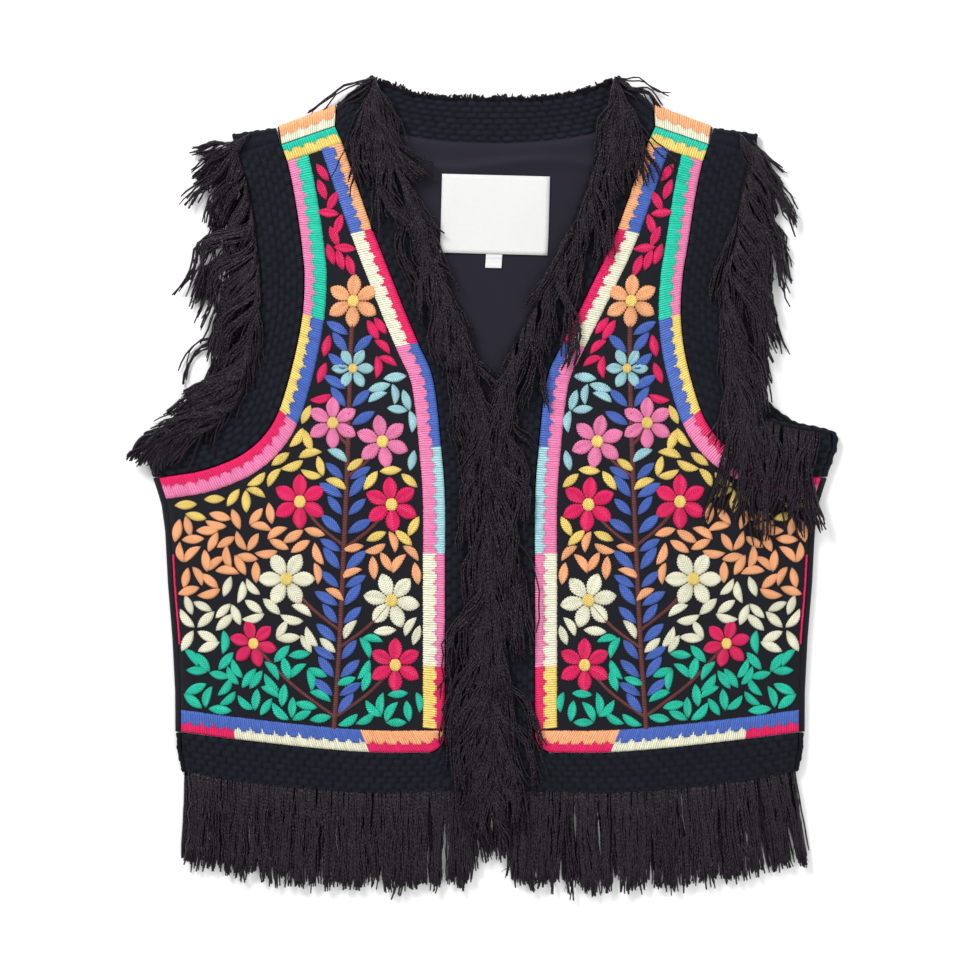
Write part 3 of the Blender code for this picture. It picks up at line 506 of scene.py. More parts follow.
    def over_side(self, row: Points, wall: float) -> Points:
        """Return rows that carry on from one at the side's turn to the seam on the front.

        Args:
            row: The points at the turn.
            wall: Thickness of the piece.

        Returns:
            The unfolded rows past the turn.
        """
        passed = np.append(np.linspace(0.0, self.fold_arc, 9)[1:], self.fold_arc + self.side_overlap)
        turn = self.side_turn(row[:, 1], wall)
        return np.array([np.column_stack([turn + past, row[:, 1]]) for past in passed])

    def front_band_edges(self) -> tuple:
        """Return the seam and the free edge of a front band, from the hem up to the shoulder.

        Returns:
            The two lines.
        """
        edge = self.front_edge(self.rows * 2)
        above = edge[edge[:, 1] > FRONT_EDGE[-1][1] + self.corner_radius]
        below = np.linspace(HEM_EDGE[1][1], FRONT_EDGE[-1][1], 8)
        seam = np.vstack([np.column_stack([np.full(8, FRONT_EDGE[-1][0]), below]), above])
        seam = offset(resample(seam, self.rows), self.gap)
        free = offset(seam, self.band_width)
        free[:, 0] = np.maximum(free[:, 0], self.gap)
        return seam, free

    def widened(self, grid: Points, reach: Callable) -> Points:
        """Return the rows of an armhole band with the last ones widened to the bulging side.

        Args:
            grid: The rows of the band.
            reach: How far out the side is at each height.

        Returns:
            The widened rows.
        """
        near = len(grid) // 4
        grid = grid.copy()
        across = np.arange(grid.shape[1]) / (grid.shape[1] - 1)
        for step in range(near):
            row = grid[len(grid) - near + step]
            share = np.ones(len(row)) if step == near - 1 else ((step + 1) / near) ** 4 * across
            row[:, 0] += share * (reach(row[:, 1]) - row[:, 0])
        return grid

    def armhole_band_edges(self) -> tuple:
        """Return the seam and the free edge of a front armhole band, from the shoulder to the side."""
        seam = offset(self.armhole(self.rows)[::-1], self.gap)
        return seam, offset(seam, self.armhole_band_width)

    def back_armhole(self) -> Points:
        """Return the armhole seam of the back, from the shoulder's turn to the side's turn.

        Returns:
            The points of the seam.
        """
        start = (ARMHOLE_FOLD_OUT, float(self.shoulder_turn(ARMHOLE_FOLD_OUT)))
        end = (float(self.side_turn(UNDERARM_UP, self.panel_wall)), UNDERARM_UP)
        return curve_through([start] + BACK_ARMHOLE + [end], self.rows)

    def back_neck(self, count: int) -> Points:
        """Return the neck seam of the back, from the centre to the shoulder's turn."""
        return curve_through(BACK_NECK + [(NECK_FOLD_OUT, float(self.shoulder_turn(NECK_FOLD_OUT)))], count)

    def back_neck_free(self, count: int) -> Points:
        """Return the free edge of the back neck band, from the centre to the shoulder's turn."""
        end = (FREE_NECK_FOLD_OUT, float(self.shoulder_turn(FREE_NECK_FOLD_OUT)))
        return curve_through(BACK_NECK_FREE + [end], count)


PLACE = Place()
PATTERN = Pattern()


# Colours and finishes

def linear(code: str) -> tuple:
    """Return the linear colour of a six-figure colour code."""
    shares = [int(code[index:index + 2], 16) / 255 for index in (0, 2, 4)]
    return tuple(share / 12.92 if share <= 0.04045 else ((share + 0.055) / 1.055) ** 2.4 for share in shares)


class Floss(Enum):
    """The colours of the embroidery floss."""

    HOT_PINK = "E8105F"
    PINK = "F07FB0"
    PEACH = "FDB07C"
    CREAM = "F0EED2"
    YELLOW = "F5D570"
    TEAL = "10C7A6"
    BLUE = "4566BC"
    LIGHT_BLUE = "A3D6DE"
    BROWN = "5C2A28"

    def colour(self) -> Points:
        """Return the linear colour of the floss."""
        return np.array(linear(self.value))


class Cloth(Enum):
    """The record's material slots."""

    WOOL = "wool_ground"
    KNIT = "knit_band"
    LINING = "lining"
    LABEL = "label"
    FLOSS = "embroidery"
    FRINGE = "fringe"


@dataclass
class Graph:
    """A small helper that adds nodes to a node tree and links them."""

    tree: NodeTree

    def add(self, kind: str, feeds: Optional[dict] = None, **settings: object) -> Node:
        """Add a node, set its properties and feed its inputs.

        Args:
            kind: The node's type.
            feeds: A value, or a socket to link, for each input by its name or number.
            **settings: The node's properties.

        Returns:
            The node.
        """
        node = self.tree.nodes.new(kind)
        for key, value in settings.items():
            setattr(node, key, value)
        self.feed(node, feeds or {})
        return node

    def feed(self, node: Node, feeds: dict) -> None:
        """Give inputs of a node their values or links.

        Args:
            node: The node.
            feeds: A value, or a socket to link, for each input by its name or number.
        """
        for key, value in feeds.items():
            if isinstance(value, NodeSocket):
                self.tree.links.new(value, node.inputs[key])
            else:
                node.inputs[key].default_value = value

    def math(self, operation: str, first: object, second: object = 0.0) -> NodeSocket:
        """Add a Math node and return its output."""
        return self.add("ShaderNodeMath", {0: first, 1: second}, operation=operation).outputs[0]


def weave(graph: Graph, given: NodeOutputs) -> NodeSocket:
    """Work out a plain weave.

    Args:
        graph: The group's tree.
        given: A vector and the number of threads to the metre.

    Returns:
        The height of the threads.
    """
    scaled = graph.add("ShaderNodeVectorMath", {0: given["Vector"], "Scale": given["Threads per metre"]},
                       operation="SCALE")
    axes = graph.add("ShaderNodeSeparateXYZ", {0: scaled.outputs[0]})
    warp, weft = (graph.math("SINE", graph.math("MULTIPLY", axis, math.pi)) for axis in axes.outputs[:2])
    return graph.math("MULTIPLY", warp, weft)


def wander(graph: Graph, given: NodeOutputs) -> NodeSocket:
    """Work out a colour that wanders a little.

    Args:
        graph: The group's tree.
        given: A vector, a colour, a size, an amount and a shade from 0 to 1, which paints shade and light
            into the colour.

    Returns:
        The colour.
    """
    noise = graph.add("ShaderNodeTexNoise",
                      {"Detail": 3.0, "Vector": given["Vector"], "Scale": given["Scale"]})
    swing = graph.math("SUBTRACT", noise.outputs[0], 0.5)
    value = graph.math("ADD", graph.math("MULTIPLY", swing, given["Amount"]), 1.0)
    value = graph.math("MULTIPLY", value, given["Shade"])
    return graph.add("ShaderNodeHueSaturation", {"Color": given["Color"], "Value": value}).outputs[0]


def threads(graph: Graph, given: NodeOutputs) -> NodeSocket:
    """Work out threads that lie side by side.

    Args:
        graph: The group's tree.
        given: A vector, a place for the waver, a pitch along the vector, a slant, and the waver's scale and
            amount.

    Returns:
        The height of the threads.
    """
    axes = graph.add("ShaderNodeSeparateXYZ", {0: given["Vector"]})
    noise = graph.add("ShaderNodeTexNoise", {"Vector": given["Place"], "Scale": given["Waver scale"]})
    turns = graph.math("ADD", graph.math("MULTIPLY", axes.outputs[0], given["Rate"]),
                       graph.math("MULTIPLY", axes.outputs[1], given["Slant"]))
    turns = graph.math("ADD", turns, graph.math("MULTIPLY", noise.outputs[0], given["Waver"]))
    wave = graph.math("SINE", graph.math("MULTIPLY", turns, TURN))
    return graph.math("ADD", graph.math("MULTIPLY", wave, 0.5), 0.5)


@dataclass(frozen=True)
class Group:
    """A node group with one output, made when it is first asked for."""

    name: str
    fill: Callable
    output: tuple
    vectors: Sequence[str] = ("Vector",)
    colours: Sequence[str] = ()
    numbers: Sequence[str] = ()

    def tree(self) -> NodeTree:
        """Return the node group.

        Returns:
            The group of this name, whose nodes the fill function has worked out.
        """
        if self.name in bpy.data.node_groups:
            return bpy.data.node_groups[self.name]
        tree = bpy.data.node_groups.new(self.name, "ShaderNodeTree")
        for kind, labels in (("Vector", self.vectors), ("Color", self.colours), ("Float", self.numbers)):
            for label in labels:
                tree.interface.new_socket(label, in_out="INPUT", socket_type=f"NodeSocket{kind}")
        label, kind = self.output
        tree.interface.new_socket(label, in_out="OUTPUT", socket_type=f"NodeSocket{kind}")
        graph = Graph(tree)
        given = graph.add("NodeGroupInput").outputs
        graph.add("NodeGroupOutput", {label: self.fill(graph, given)})
        return tree








SHEEN_ROUGHNESS = 0.5


@dataclass(frozen=True)
class Finish:
    """One cloth or yarn: its slot in the record, its dye, its gloss and its surface."""

    name: str
    cloth: Cloth
    colour: Optional[str]
    roughness: float
    sheen: float
    specular: float = 0.3
    weave: float = 0.0
    weave_height: float = 0.00015
    strands: float = 0.0
    strand_slant: float = 0.0
    strand_waver: float = 0.4
    waver_scale: float = 150.0
    strand_height: float = 0.0002
    # painted shade between the strands and painted light on their tops, as a share of the dye
    painted_strand_shade: float = 0.0
    dye_scale: float = 120.0
    dye_amount: float = 0.3
    coordinates: str = "Object"

    def material(self) -> Material:
        """Return the finish's material, made on the first call.

        Returns:
            A material in the finish's colour or, where it has none, in the colours of the mesh's floss.
        """
        if self.name in bpy.data.materials:
            return bpy.data.materials[self.name]
        made = bpy.data.materials.new(self.name)
        made.use_nodes = True
        graph = Graph(made.node_tree)
        where = graph.add("ShaderNodeTexCoord")
        if self.colour is None:
            colour = graph.add("ShaderNodeAttribute", attribute_name="floss").outputs["Color"]
        else:
            colour = (*linear(self.colour), 1.0)
        dye = graph.add("ShaderNodeGroup", node_tree=WANDER.tree())
        graph.feed(dye, {"Scale": self.dye_scale, "Amount": self.dye_amount, "Shade": 1.0,
                         "Vector": where.outputs["Object"], "Color": colour})
        shader = made.node_tree.nodes["Principled BSDF"]
        graph.feed(shader, {"Roughness": self.roughness, "Specular IOR Level": self.specular,
                            "Sheen Weight": self.sheen, "Sheen Roughness": SHEEN_ROUGHNESS,
                            "Base Color": dye.outputs[0]})
        self.add_surface(graph, where, shader, dye)
        return made

    def add_surface(self, graph: Graph, where: Node, shader: Node,
                    dye: Node) -> None:
        """Add the relief of the weave and of the strands to a material, and painted shade between the strands
        with painted light on their tops.

        Args:
            graph: The material's tree.
            where: Its coordinates.
            shader: Its shader, which gets the relief.
            dye: Its dye, which gets the painted shade and light.
        """
        vector = where.outputs[self.coordinates]
        if self.weave:
            cloth = graph.add("ShaderNodeGroup", node_tree=WEAVE.tree())
            graph.feed(cloth, {"Threads per metre": self.weave, "Vector": vector})
            self.add_relief(graph, cloth, self.weave_height, shader)
        if self.strands:
            strands = graph.add("ShaderNodeGroup", node_tree=THREADS.tree())
            graph.feed(strands, {"Rate": self.strands, "Slant": self.strand_slant, "Waver": self.strand_waver,
                                 "Waver scale": self.waver_scale, "Vector": vector,
                                 "Place": where.outputs["Object"]})
            self.add_relief(graph, strands, self.strand_height, shader)
            if self.painted_strand_shade:
                # painted shade between the strands and painted light on their tops
                lit = graph.math("MULTIPLY", strands.outputs["Height"], self.painted_strand_shade)
                graph.feed(dye, {"Shade": graph.math("ADD", lit, 1.0 - self.painted_strand_shade / 2)})

    @staticmethod
    def add_relief(graph: Graph, source: Node, depth: float, shader: Node) -> None:
        """Give a shader the relief of a group."""
        bump = graph.add("ShaderNodeBump", {"Distance": depth, "Height": source.outputs["Height"]})
        graph.feed(shader, {"Normal": bump.outputs[0]})


WEAVE = Group("plain_weave", weave, ("Height", "Float"), numbers=("Threads per metre",))
WANDER = Group("wandering_dye", wander, ("Color", "Color"), colours=("Color",),
               numbers=("Scale", "Amount", "Shade"))
THREADS = Group("threads_side_by_side", threads, ("Height", "Float"), vectors=("Vector", "Place"),
                numbers=("Rate", "Slant", "Waver scale", "Waver"))

# the knit, the floss and the yarn get a strand shade: painted shade between the strands and painted light on
# their tops; on the fringe yarn it paints the glints of the twist
WOOL = Finish("navy_wool", Cloth.WOOL, "16171F", 0.9, 0.04, specular=0.2, weave=1100.0, weave_height=0.0004,
              dye_scale=60.0)
KNIT = Finish("navy_knit", Cloth.KNIT, None, 0.78, 0.02, specular=0.15, strands=520.0, strand_slant=420.0,
              strand_height=0.0004, painted_strand_shade=0.35, dye_scale=160.0, dye_amount=0.9)
LINING = Finish("dark_lining", Cloth.LINING, "1A1723", 0.5, 0.03, specular=0.14, weave=3000.0,
                weave_height=0.00003, dye_scale=20.0, dye_amount=0.2)
TAPE = Finish("white_tape", Cloth.LABEL, "DCDCDA", 0.6, 0.0, weave=2600.0, weave_height=0.0001,
              dye_scale=400.0, dye_amount=0.06)
FLOSS = Finish("embroidery_floss", Cloth.FLOSS, None, 0.42, 0.05, specular=0.4, strands=620.0,
               strand_waver=0.8, waver_scale=180.0, strand_height=0.0007, painted_strand_shade=0.4, dye_scale=260.0,
               coordinates="UV")
YARN = Finish("fringe_yarn", Cloth.FRINGE, "160518", 0.42, 0.0, specular=0.42, strands=24.0, strand_slant=1.0,
              strand_waver=1.6, waver_scale=650.0, strand_height=0.0006, painted_strand_shade=0.75, dye_scale=500.0,
              dye_amount=1.0, coordinates="UV")


# Making and dressing the meshes



@dataclass
class Piece:
    """A finished mesh and what it stands for."""

    name: str
    finish: Finish
    replaces: Sequence[str] = ()

    def add(self, mesh: Mesh) -> Object:
        """Make the object, ride it on the vest and let it replace its nodes.

        Args:
            mesh: The finished mesh.

        Returns:
            The object.
        """
        mesh.materials.clear()
        mesh.materials.append(self.finish.material())
        mesh.shade_smooth()
        item = linked(self.name, mesh)
        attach(item, "root")
        if self.replaces:
            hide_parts(*self.replaces)
        mesh.calc_loop_triangles()
        LOG.info("%s: %d triangles", self.name, len(mesh.loop_triangles))
        return item


def linked(name: str, data: ID) -> Object:
    """Return a new object of the scene.

    Args:
        name: Its name.
        data: Its mesh, light or camera.

    Returns:
        The object.
    """
    item = bpy.data.objects.new(name, data)
    bpy.context.scene.collection.objects.link(item)
    return item


def grid_mesh(name: str, places: Points, plane: Points, floss: Optional[Points] = None) -> Mesh:
    """Return a mesh of a grid of places, with a UV map in metres.

    Args:
        name: Name of the mesh.
        places: Rows of places in metres.
        plane: For each place its distances along and across the cloth, in metres.
        floss: The linear colour of each face of the grid.

    Returns:
        The mesh.
    """
    last_row, last_column = places.shape[0] - 1, places.shape[1] - 1
    bm = bmesh.new()
    bmesh.ops.create_grid(bm, x_segments=last_column, y_segments=last_row, size=0.5)
    mesh = bpy.data.meshes.new(name)
    bm.to_mesh(mesh)
    bm.free()
    flat = vertex_places(mesh)
    row = np.rint((flat[:, 1] + 0.5) * last_row).astype(int)
    column = np.rint((flat[:, 0] + 0.5) * last_column).astype(int)
    mesh.vertices.foreach_set("co", places[row, column].ravel())
    corner = np.empty(len(mesh.loops), dtype=int)
    mesh.loops.foreach_get("vertex_index", corner)
    layer = mesh.uv_layers.new(name="cloth")
    layer.data.foreach_set("uv", plane[row[corner], column[corner]].astype(float).ravel())
    if floss is not None:
        quads = corner.reshape(-1, 4)
        paint(mesh, np.repeat(floss[row[quads].min(axis=1), column[quads].min(axis=1)], 4, axis=0))
    mesh.update()
    return mesh


def vertex_places(mesh: Mesh) -> Points:
    """Return the places of a mesh's vertices.

    Args:
        mesh: The mesh.

    Returns:
        A row for each vertex.
    """
    places = np.empty(len(mesh.vertices) * 3)
    mesh.vertices.foreach_get("co", places)
    return places.reshape(-1, 3)


def joined(name: str, parts: Sequence[Mesh]) -> Mesh:
    """Return one mesh made of several, which are removed.

    Args:
        name: Name of the mesh.
        parts: The meshes that it is made of.

    Returns:
        The mesh.
    """
    bm = bmesh.new()
    for part in parts:
        bm.from_mesh(part)
        bpy.data.meshes.remove(part)
    mesh = bpy.data.meshes.new(name)
    bm.to_mesh(mesh)
    bm.free()
    return mesh


def mended(mesh: Mesh, merge: float = 0.0, capped: bool = False,
           turned: bool = True) -> Mesh:
    """Return a mesh without its small faults.

    Args:
        mesh: The mesh, which is changed.
        merge: Distance within which vertices become one.
        capped: Whether open ends are filled.
        turned: Whether all faces are turned outwards.

    Returns:
        The mesh.
    """
    bm = bmesh.new()
    bm.from_mesh(mesh)
    if merge:
        bmesh.ops.remove_doubles(bm, verts=bm.verts, dist=merge)
    if capped:
        bmesh.ops.holes_fill(bm, edges=[edge for edge in bm.edges if edge.is_boundary], sides=0)
    if turned:
        bmesh.ops.recalc_face_normals(bm, faces=bm.faces)
    bm.to_mesh(mesh)
    bm.free()
    mesh.update()
    return mesh


def paint(mesh: Mesh, colours: Points) -> None:
    """Give each corner of a mesh the colour of its floss."""
    attribute = mesh.color_attributes.new(name="floss", type="FLOAT_COLOR", domain="CORNER")
    attribute.data.foreach_set("color", np.column_stack([colours, np.ones(len(colours))]).ravel())




def shell_mesh(name: str, middle: Points, over: Points, under: Points, side: int,
               floss: Optional[Points] = None, coarse: int = 3) -> Mesh:
    """Return a closed wall of cloth round a middle surface.

    Args:
        name: Name of the mesh.
        middle: Rows of places of the middle surface, in millimetres.
        over: Distance from the middle to the upper surface, for each place.
        under: Distance from the middle to the lower surface, for each place or for all.
        side: 1 for the wearer's left, -1 for the right.
        floss: The linear colour of each face of the upper surface.
        coarse: How many columns of the upper surface one column of the lower one spans.

    Returns:
        The mesh.
    """
    normal = np.cross(np.gradient(middle, axis=1), np.gradient(middle, axis=0))
    normal /= np.maximum(np.linalg.norm(normal, axis=2), TINY)[..., None]
    if normal[..., 2].mean() < 0:
        normal = -normal
    back = np.unique(np.append(np.arange(0, middle.shape[1], coarse), middle.shape[1] - 1))[::-1]
    top = middle + normal * np.broadcast_to(over, middle.shape[:2])[..., None]
    bottom = (middle - normal * np.broadcast_to(under, middle.shape[:2])[..., None])[:, back]
    ring = np.concatenate([top, bottom, top[:, :1]], axis=1)
    across = distances(middle, 1)
    across = np.concatenate([across, across[back], [0.0]])
    plane = np.stack(np.meshgrid(distances(middle, 0), across, indexing="ij"), axis=-1) * MM
    if floss is not None:
        rest = ring.shape[1] - 1 - floss.shape[1]
        floss = np.concatenate([floss, np.repeat(floss[:, -1:], rest, axis=1)], axis=1)
    return mended(grid_mesh(name, PLACE.lay(ring, side), plane, floss), MERGE, capped=True)


def steps_across(grid: Points) -> Points:
    """Return the unit direction from column to column at each place of a grid."""
    across = np.gradient(grid, axis=1)
    return across / np.maximum(np.linalg.norm(across, axis=2), TINY)[..., None]




def declare(piece: Object, grid: Points, tucked: float = 0.0) -> None:
    """Work out the area, width and length of a piece's unfolded cloth; nothing is done with them.

    Args:
        piece: The piece; not used.
        grid: Its unfolded rows.
        tucked: How much longer it was cut for an end that is tucked in.
    """
    first = grid[1:, 1:] - grid[:-1, :-1]
    second = grid[1:, :-1] - grid[:-1, 1:]
    area = float(np.abs(first[..., 0] * second[..., 1] - first[..., 1] * second[..., 0]).sum() / 2) * MM * MM
    width, length = (float(grid[..., axis].max() - grid[..., axis].min()) * MM for axis in (0, 1))
    area = min(max(area, LEAST_AREA_SHARE * width * length), width * length)
    length += tucked * MM


# The cloth pieces

@dataclass
class FrontPanel:
    """One front of the vest, puckered a little by its needlework."""

    word: str
    side: int
    step: float = 3.4

    def make(self) -> None:
        """Make the panel."""
        grid = refined(PATTERN.panel_grid(), self.step, self.step)
        half = PATTERN.panel_wall / 2
        middle = np.dstack([grid, PATTERN.panel_height(grid) - half])
        name = f"{self.word}_front_cloth"
        mesh = shell_mesh(name, middle, half, half, self.side, coarse=2)
        declare(Piece(name, WOOL, [f"{self.word}_front_panel"]).add(mesh), grid)


@dataclass
class BackPanel:
    """The back, whose shoulders reach over to the front."""

    columns: int = 12
    side_rows: int = 20
    neck_rows: int = 20

    def halves(self) -> list:
        """Return the unfolded rows of one half.

        Returns:
            The rows of its body with the shoulder, and those of the turn at the side.
        """
        heights = np.linspace(HEM_SEAM[-1][1], UNDERARM_UP, self.side_rows)
        side_line = np.column_stack([PATTERN.side_turn(heights, PATTERN.panel_wall), heights])
        right = np.vstack([side_line, PATTERN.back_armhole()[-2::-1]])
        neck = PATTERN.back_neck(self.neck_rows)
        rest = len(right) - len(neck)
        centre = np.column_stack([np.zeros(rest), np.linspace(HEM_CENTRE_UP, BACK_NECK[0][1], rest + 1)[:-1]])
        shares = np.linspace(0.0, 1.0, self.columns)
        grid = between(np.vstack([centre, neck]), right, shares)
        hem = curve_through([(0.0, HEM_CENTRE_UP)] + HEM_SEAM[:-1] + [tuple(side_line[0])], 60)
        grid = grid + (at_shares(hem, shares) - grid[0])[None] * rising(len(grid))[::-1]
        grid[-1, :, 1] = PATTERN.shoulder_turn(grid[-1, :, 0])
        over = PATTERN.over_shoulder(grid[-1], np.array(FRONT_EDGE[0]), np.array(ARMHOLE[0]))
        turn = np.concatenate([side_line[None], PATTERN.over_side(side_line, PATTERN.panel_wall)])
        return [np.concatenate([grid, over]), turn]

    def make(self) -> None:
        """Make both halves of the back as one wall."""
        body, turn = self.halves()
        halves = [grid_mesh("half", PLACE.lay(PATTERN.folded(part, PATTERN.panel_wall), side), part * MM)
                  for side in (1, -1) for part in (body, turn)]
        item = Piece("back_cloth", WOOL, ["back_panel"]).add(mended(joined("back_cloth", halves), MERGE))
        wall = item.modifiers.new("wall", "SOLIDIFY")
        wall.thickness = PATTERN.panel_wall * MM
        wall.offset = 0.0
        wall.use_even_offset = True
        declare(item, both_halves(body))


@dataclass
class Lining:
    """The lining that the neck opening shows, with a soft crease across it."""

    wall: float = 1.0
    underside: float = 2.3
    step: float = 3.0
    crease_up: float = 223.0
    crease_height: float = 1.7
    crease_width: float = 2.6
    crease_slope: float = 0.03
    crease_swing: float = 2.0
    crease_length: float = 17.0
    unevenness: float = 0.12
    tucked: float = 1.2
    dip: float = 1.3
    dip_length: float = 4.5

    def unfolded(self) -> Points:
        """Return the rows of the lining.

        Returns:
            Rows from the lowest place that the opening shows up to the neck.
        """
        side = curve_through(LINING_SIDE, 40)
        tuck = np.array([0.0, self.tucked])
        neck = curve_through(BACK_NECK, 90) + tuck
        top = np.vstack([neck[neck[:, 0] < side[-1, 0]], side[-1:] + tuck])
        centre = resample(np.array([(0.0, side[0, 1]), tuple(top[0])]), 40)
        shares = np.linspace(0.0, 1.0, 14)
        grid = between(centre, side, shares)
        grid = grid + (at_shares(top, shares) - grid[-1])[None] * rising(len(grid))
        return refined(both_halves(grid.swapaxes(0, 1)).swapaxes(0, 1), self.step, self.step)

    def make(self) -> None:
        """Make the lining."""
        grid = self.unfolded()
        out, up = grid[..., 0], grid[..., 1]
        crease = self.crease_up + self.crease_slope * out
        crease = crease + self.crease_swing * np.sin(out / self.crease_length)
        high = self.crease_height * np.exp(-((up - crease) / self.crease_width) ** 2)
        high = high + self.unevenness * ripple(out, up, 30.0, 21)
        high = high - self.dip * smooth_step(1.0 - (up[-1:] - up) / self.dip_length)
        half = self.wall / 2
        middle = np.dstack([grid, self.underside + half + high])
        mesh = shell_mesh("lining_cloth", middle, half, half, 1, coarse=2)
        declare(Piece("lining_cloth", LINING, ["back_lining"]).add(mesh), grid)


@dataclass
class Tag:
    """A bare woven tag with its ends turned under."""

    node: str
    lift: float = 0.0
    unevenness: float = 0.0
    degrees: float = -1.5
    wall: float = 0.6
    fold: float = 3.0
    fold_height: float = 0.25
    fold_softness: float = 0.5
    tucked: float = 2.0

    def make(self) -> None:
        """Make the tag in the box of its node."""
        low, high = (np.array(corner) / MM - PLACE.shift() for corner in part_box(self.node))
        middle = (low + high) / 2 - np.array([PLACE.lean, 0.0, 0.0])
        half = (high - low) / 2
        along = np.append(np.linspace(-half[1], half[1], 18), [-half[1] + self.fold, half[1] - self.fold])
        grid = np.stack(np.meshgrid(np.linspace(-half[0], half[0], 24), np.sort(along)), axis=-1)
        ridge = smooth_step((np.abs(grid[..., 1]) - half[1] + self.fold) / self.fold_softness)
        level = PLACE.label_underside + self.wall / 2 + self.lift
        level = level + self.unevenness * ripple(grid[..., 0], grid[..., 1], 25.0, 31)
        out, up = heading(self.degrees)
        grid = grid @ np.array([[up, out], [-out, up]]) + middle[:2]
        over = self.wall / 2 + self.fold_height * ridge
        name = f"{self.node}_tape"
        mesh = shell_mesh(name, np.dstack([grid, level]), over, self.wall / 2, 1)
        declare(Piece(name, TAPE, [self.node]).add(mesh), grid, tucked=self.tucked)


# The knitted bands

@dataclass
class Knit:
    """The stitches of a knitted band: long loops, laid like bricks, in a wall whose edges roll under."""

    stitch: float = 8.4
    course: float = 4.3
    relief: float = 1.35
    relief_below: float = 1.08
    lift: float = 0.35
    least: float = 0.05
    roll: float = 0.9
    roll_width: float = 1.6
    fray: float = 1.3
    fray_width: float = 2.4
    fray_middle: float = 0.35
    round_end: float = 0.5
    round_edge: float = 0.6
    # painted shade in the grooves between the loops and painted light on their tops, as factors of the dye
    groove_painted_shade: float = 0.2
    loop_top_painted_light: float = 1.5
    dye: str = "10131D"
    seed: int = 3

    def heights(self, along: Points, across: Points) -> Points:
        """Return the height of the knit.

        Args:
            along: Distances along the band.
            across: Distances across it.

        Returns:
            For each place 0 between stitches to 1 on their tops.
        """
        chance = np.random.default_rng(self.seed)
        course = np.floor(across / self.course).astype(int)
        shift = chance.uniform(-0.12, 0.12, 64)[course % 64] + 0.5 * (course % 2)
        run = along / self.stitch + shift
        cell = np.floor(run).astype(int)
        plump = chance.uniform(0.72, 1.0, (64, 256))[course % 64, cell % 256]
        end = (1.0 - 2.0 * np.abs(run - cell - 0.5)) / self.round_end
        edge = (1.0 - 2.0 * np.abs(across / self.course - course - 0.5)) / self.round_edge
        return plump * unit(end) ** 0.75 * unit(edge) ** 0.4

    def walls(self, loops: Points, rim: Points, half: float, both_faces: bool) -> tuple:
        """Return how far the surfaces lie from the middle of a band.

        Args:
            loops: The height of the knit.
            rim: The distance from the nearer edge.
            half: Half the band's wall.
            both_faces: Whether the lower surface is knitted too.

        Returns:
            The distances of the upper and the lower surface.
        """
        roll = 1.0 - np.sqrt(unit(1.0 - (1.0 - unit(rim / self.roll_width)) ** 2))
        over = half + self.lift - self.relief * (1.0 - loops) - self.roll * roll
        under = half - self.roll * roll - both_faces * self.relief_below * (1.0 - loops)
        return np.maximum(over, self.least), np.maximum(under, self.least)

    def colours(self, loops: Points) -> Points:
        """Return the dye of each face, with painted shade between the loops and painted light on their tops.
        """
        shade = self.groove_painted_shade + (self.loop_top_painted_light - self.groove_painted_shade) * loops[:-1, :-1, None]
        return np.array(linear(self.dye)) * shade


@dataclass
class KnitBand:
    """One thick knitted band."""

    name: str
    node: str
    grid: Points
    side: int
    level: Optional[float] = None
    along_step: float = 1.25
    across_step: float = 0.9
    knit: Knit = field(default_factory=Knit)

    def make(self) -> None:
        """Make the band: of the front on its level, or of the back, knitted on both faces and turned over."""
        grid = refined(self.grid, self.along_step, self.across_step)
        along, across = distances(grid, 0)[:, None], distances(grid, 1)[None, :]
        loops = self.knit.heights(*np.broadcast_arrays(along, across))
        rim = np.minimum(across, across[0, -1] - across)
        half = PATTERN.band_wall / 2
        of_back = self.level is None
        over, under = self.knit.walls(loops, rim, half, of_back)
        if of_back:
            middle = PATTERN.folded(grid, PATTERN.band_wall)
            over = np.where(middle[..., 2] > half + self.knit.least, np.minimum(over, half), over)
        else:
            middle = np.dstack([grid, np.full(grid.shape[:2], self.level)])
        push = steps_across(middle[..., :2])
        ahead = np.where(across < across[0, -1] / 2, -1.0, 1.0)
        near = unit(1.0 - rim / self.knit.fray_width)
        far = ahead * near * (loops - self.knit.fray_middle) * self.knit.fray
        middle[..., :2] += push * far[..., None]
        # the faces carry the knit's dye with its painted shade between the loops and painted light on their
        # tops
        mesh = shell_mesh(self.name, middle, over, under, self.side, self.knit.colours(loops),
                          coarse=1 if of_back else 4)
        declare(Piece(self.name, KNIT, [self.node]).add(mesh), grid)


